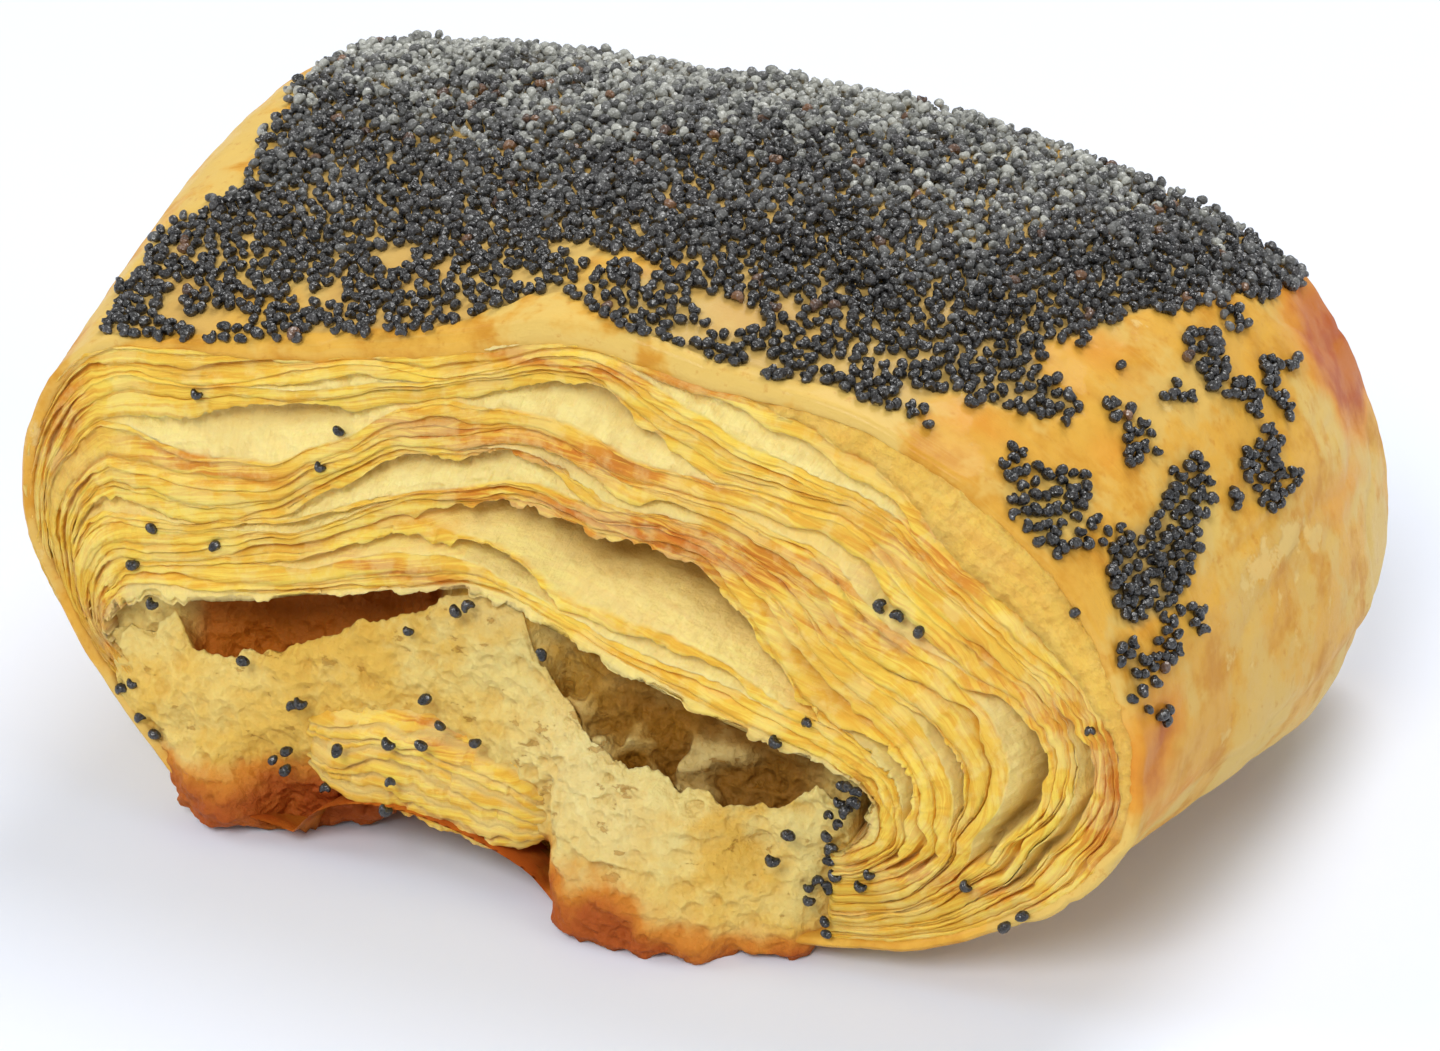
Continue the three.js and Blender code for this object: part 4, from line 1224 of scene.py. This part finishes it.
def sheets_material():
    """The cut edges of buttery sheets: yellow edges, paler webs, golden shadows in the gaps."""
    material, wiring, skin, where, chart = new_material("cut sheets of dough")
    web, gap, sponge = (wiring.mark(name) for name in ("web", "gap", "sponge"))
    streaks = wiring.streaks(chart, 1.0)
    streaked = wiring.step(streaks["Mask"], 0.4, 0.62)
    fibres = wiring.streaks(wiring.stretch(chart, (16.0, 0.06, 1.0)), 1.0)
    patchy = wiring.patches(where, 110.0, 0.4, 0.65)
    floury = wiring.patches(where, 420.0, 0.44, 0.6)
    pored = wiring.patches(where, 1500.0, 0.48, 0.62)
    toast = wiring.math("MULTIPLY", wiring.mark("toast"), wiring.plus(streaked, 0.35), clamp=True)
    fluffed = wiring.step(fibres["Mask"], 0.45, 0.62)
    mottled = wiring.plus(wiring.times(floury, 0.35), wiring.times(fluffed, 0.12))
    wiring.plug(skin["Base Color"], wiring.tinted(BUTTER_YELLOW, [
        (streaked, 0.8, GOLD),
        (patchy, 0.5, PATCHY_GOLD),
        (wiring.step(toast, 0.0, 0.5), 1, TOASTED_GOLD),
        (wiring.step(toast, 0.4, 1.1), 1, TOASTED),
        # Painted shade in the gaps behind the sheet edges
        (wiring.times(gap, wiring.rest(web)), 0.75, GAP_SHADE_GOLD),
        (floury, 0.3, WEB_CREAM),
        (web, 0.8, WEB_CREAM),
        (wiring.times(web, mottled), 1, WEB_MOTTLE),
        (wiring.times(web, wiring.step(gap, 0.45, 1.0)), 0.8, WEB_SHADE),
        (sponge, 0.75, SPONGE),
        (wiring.times(sponge, pored), 0.35, SPONGE_PORE),
        ("shade", 0.85, POCKET_SHADE),
        # Painted shade on the hidden rows behind the sheets
        ("inside", 1, HIDDEN_INSIDE_SHADE),
    ]))
    spongy = wiring.math("MAXIMUM", wiring.times(sponge, 2.2), web)
    grain = wiring.times(wiring.pores(where, 850.0, 0.5), wiring.plus(wiring.times(spongy, 1.2), 0.6))
    layered = wiring.times(streaks["Height"], wiring.rest(wiring.times(web, 0.85)), 0.55)
    cottony = wiring.times(fibres["Height"], web, 0.6)
    wiring.plug(skin["Normal"], wiring.bump(wiring.plus(layered, grain, cottony), 0.6, 0.0005))
    set_skin(skin, {"Roughness": 0.5, "Subsurface Weight": 0.2, "Subsurface Radius": (1.0, 0.65, 0.22),
                    "Subsurface Scale": 0.002, "Specular IOR Level": 0.18})
    return material


def crumb_material():
    """Torn crumb: pale cream, yellower where it is still sheeted, brown where it met the tray."""
    material, wiring, skin, where, _ = new_material("torn crumb")
    patchy = wiring.patches(where, 130.0, 0.42, 0.6)
    fine = wiring.patches(where, 900.0, 0.4, 0.66)
    slits = wiring.patches(wiring.stretch(where, (0.7, 1.0, 1.4)), 520.0, 0.63, 0.66)
    # Painted shade in the hollows: brown, and amber on the left where light is painted glowing through the
    # crumb
    hollow_shades = wiring.tinted(HOLLOW_SHADE, [("amber", 1, HOLLOW_AMBER_SHADE)])
    browned = wiring.times(wiring.mark("brown"), wiring.plus(wiring.times(patchy, 0.25), 0.85))
    wiring.plug(skin["Base Color"], wiring.tinted(CRUMB_WHITE, [
        (patchy, 1, CRUMB_YELLOW),
        ("sheeted", 0.5, CRUMB_BUTTERY),
        # Painted shade in the pits
        ("pit", 0.35, CRUMB_PIT_SHADE),
        (fine, 0.22, CRUMB_GRAIN),
        # Painted shade in the slits
        ("white", 0.65, CRUMB_PALEST),
        (slits, 0.55, CRUMB_SLIT_SHADE),
        ("inside", 0.94, hollow_shades),
        (wiring.step(browned, 0.02, 0.5), 1, BAKED_ORANGE),
        (wiring.step(browned, 0.4, 1.0), 1, OVEN_BROWN),
    ]))
    height = wiring.plus(wiring.pores(where, 1300.0, 0.8), wiring.pores(where, 560.0, 0.9),
                         wiring.times(slits, -0.6))
    wiring.plug(skin["Normal"], wiring.bump(height, 0.6, 0.0006))
    set_skin(skin, {"Roughness": 0.6, "Subsurface Weight": 0.15, "Subsurface Radius": (1.0, 0.7, 0.3),
                    "Subsurface Scale": 0.0018, "Specular IOR Level": 0.15})
    return material


def seed_material(name, dark, light, notch_shade):
    """Poppy seeds: a fine raised net over the skin, each seed its own tone."""
    material, wiring, skin, where, _ = new_material(name)
    net = wiring.add("ShaderNodeMapRange", {"Value": wiring.cells(where, 4200.0), "From Min": 0.25,
                                            "From Max": 0.7}).outputs["Result"]
    wiring.plug(skin["Base Color"], wiring.tinted(dark, [
        ("tone", 1, light),
        (wiring.patches(where, 1700.0, 0.5, 0.6), 0.45, light),
        (net, 0.07, SEED_NET),
        # Painted shade in the notch
        ("notch_shade", 0.92, notch_shade),
    ]))
    wiring.plug(skin["Normal"], wiring.bump(net, 0.5, 0.0001))
    set_skin(skin, {"Roughness": 0.26, "Specular IOR Level": 0.7})
    return material


def table_material():
    """A plain pale table."""
    material, _, skin, _, _ = new_material("pale table")
    set_skin(skin, {"Base Color": TABLE_WHITE, "Roughness": 0.7, "Specular IOR Level": 0.2})
    return material


def dress(piece, material):
    """Gives a piece its material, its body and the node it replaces."""
    piece.data.materials.append(material)
    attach(piece, "root")
    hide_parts("pastry")


# The sheets: how many columns their pieces and those of the far end have
FRONT_COLUMNS = 1180
BACK_COLUMNS = 500
BACK_NOISE = 31.0  # sets the far end's noise apart from the front's


def build_pastry():
    """The crust, the sheets of both cut faces, the crumb and the flap."""
    dress(grid_piece("crust", CRUST_AROUND, CRUST_ALONG, crust_shape), crust_material())
    sheets = sheets_material()
    front = CutFace(FRONT_OUTLINE, FRONT_CORE, FRONT_SHEETS, LENSES, THICK_LAYERS, 0.0, True)
    back = CutFace(BACK_OUTLINE, BACK_CORE, BACK_SHEETS, BACK_LENSES, BACK_THICK_LAYERS, BACK_NOISE, False)
    pieces = sheet_pieces("front_sheets", front, FRONT_COLUMNS)
    pieces += sheet_pieces("back_sheets", back, BACK_COLUMNS)
    for piece in pieces:
        dress(piece, sheets)
    crumb = crumb_material()
    dress(grid_piece("torn_crumb", CRUMB_COLUMNS, CRUMB_ROWS, crumb_shape), crumb)
    dress(grid_piece("back_crumb", BACK_CRUMB_AROUND, BACK_CRUMB_ROWS, back_crumb_shape), crumb)
    dress(grid_piece("flap", FLAP_COLUMNS, FLAP_ROWS, flap_shape), sheets)


# The seeds that lie on the crust and those piled on them: how many are wanted, how close the middles
# of two lie in the thick of them, where they lie, and how far above the crust
SEED_LAYERS = [(6400, 0.81, seed_cover, 0.36), (1400, 1.15, thick_cover, 0.86)]
RUSTY = 4  # the place of the rusty kind among the kinds
RUSTY_SHARE = 0.012
# What makes a seed lighter: chance, its neighbourhood and lying off the folded side, as dust, and lying far
# back, as a painted sheen on the seeds towards the back
DUST_CHANCE = 0.9
SHEEN_TOWARDS_BACK = 0.03
DUST_AROUND = 0.3
DUST_SIDE = 0.035
FOLD_BEGINS_X = 20


def build_seeds():
    """All the seeds, in one piece for each kind."""
    rng = np.random.default_rng(5)
    scattered = [scatter(rng, *layer) for layer in SEED_LAYERS] + [face_seeds(rng)]
    places, ups = (np.concatenate(parts) for parts in zip(*scattered))
    # Lighter seeds: random dust, and a painted sheen that grows towards the back
    dust_and_sheen = DUST_CHANCE * rng.random(len(places)) + SHEEN_TOWARDS_BACK * places[:, 1]
    dust_and_sheen += DUST_AROUND * uneven(*(places / 9).T)
    dust_and_sheen -= DUST_SIDE * np.maximum(places[:, 0] - FOLD_BEGINS_X, 0)
    kind = np.digitize(dust_and_sheen, np.quantile(dust_and_sheen, [0.25, 0.5, 0.75]))
    kind = np.where(rng.random(len(places)) < RUSTY_SHARE, RUSTY, kind)
    for number, (name, *colours) in enumerate(SEED_KINDS):
        piece = seeds_piece(name, places[kind == number], ups[kind == number], rng)
        dress(piece, seed_material(name.replace("_", " "), *colours))


# The table, the light and the camera
TABLE_HALF = 3
# Each light: its place in metres, its width, and how brightly it lights white paper facing it
STUDIO_LIGHTS = [
    ("overhead window", (0.1, 0.75, 1.15), 0.8, 0.53),
    ("front window", (0.0, -0.9, 0.9), 0.55, 0.52),
    ("left reflector", (-0.95, -0.2, 0.6), 0.6, 0.22),
    ("right reflector", (0.95, -0.1, 0.5), 0.6, 0.16),
]
ROOM_BRIGHTNESS = 0.38
CAMERA_AZIMUTH = math.radians(22)
CAMERA_ELEVATION = math.radians(28)
CAMERA_DISTANCE = 0.3
CAMERA_TARGET = to_frame(np.array([0.0, 0.0, 20.0]))
SENSOR = 36
PIXELS_A_RADIAN = 3810  # focal length in pixels of the 1440 pixel wide picture
PICTURE_WIDTH = 1440


def build_stage():
    """The table the pastry rests on."""
    table = placed_object("table", flat_grid("table", 1, 1, TABLE_HALF))
    table.data.materials.append(table_material())


def area_light(name, place, size, brightness):
    """A round soft light that looks at the pastry."""
    light = bpy.data.lights.new(name, "AREA")
    light.shape = "DISK"
    light.size = size
    light.energy = brightness * math.pi ** 2 * Vector(place).length_squared
    lamp = placed_object(name, light)
    lamp.location = place
    lamp.rotation_euler = (-Vector(place)).to_track_quat("-Z", "Y").to_euler()


def build_view():
    """The room, the lights and the camera."""
    scene = bpy.context.scene
    world = bpy.data.worlds.new("soft white room")
    world.use_nodes = True
    background = world.node_tree.nodes["Background"].inputs
    background["Color"].default_value = (1, 1, 1, 1)
    background["Strength"].default_value = ROOM_BRIGHTNESS
    scene.world = world
    for light in STUDIO_LIGHTS:
        area_light(*light)
    lens = bpy.data.cameras.new("camera")
    lens.sensor_width = SENSOR
    lens.lens = SENSOR * PIXELS_A_RADIAN / PICTURE_WIDTH
    lens.clip_start = 0.01
    level = math.cos(CAMERA_ELEVATION)
    away = Vector((math.sin(CAMERA_AZIMUTH) * level, -math.cos(CAMERA_AZIMUTH) * level,
                   math.sin(CAMERA_ELEVATION)))
    camera = placed_object("camera", lens)
    camera.location = Vector(CAMERA_TARGET) + away * CAMERA_DISTANCE
    camera.rotation_euler = (-away).to_track_quat("-Z", "Y").to_euler()
    scene.camera = camera
    scene.view_settings.view_transform = "Standard"


build_pastry()
build_seeds()
build_stage()
build_view()
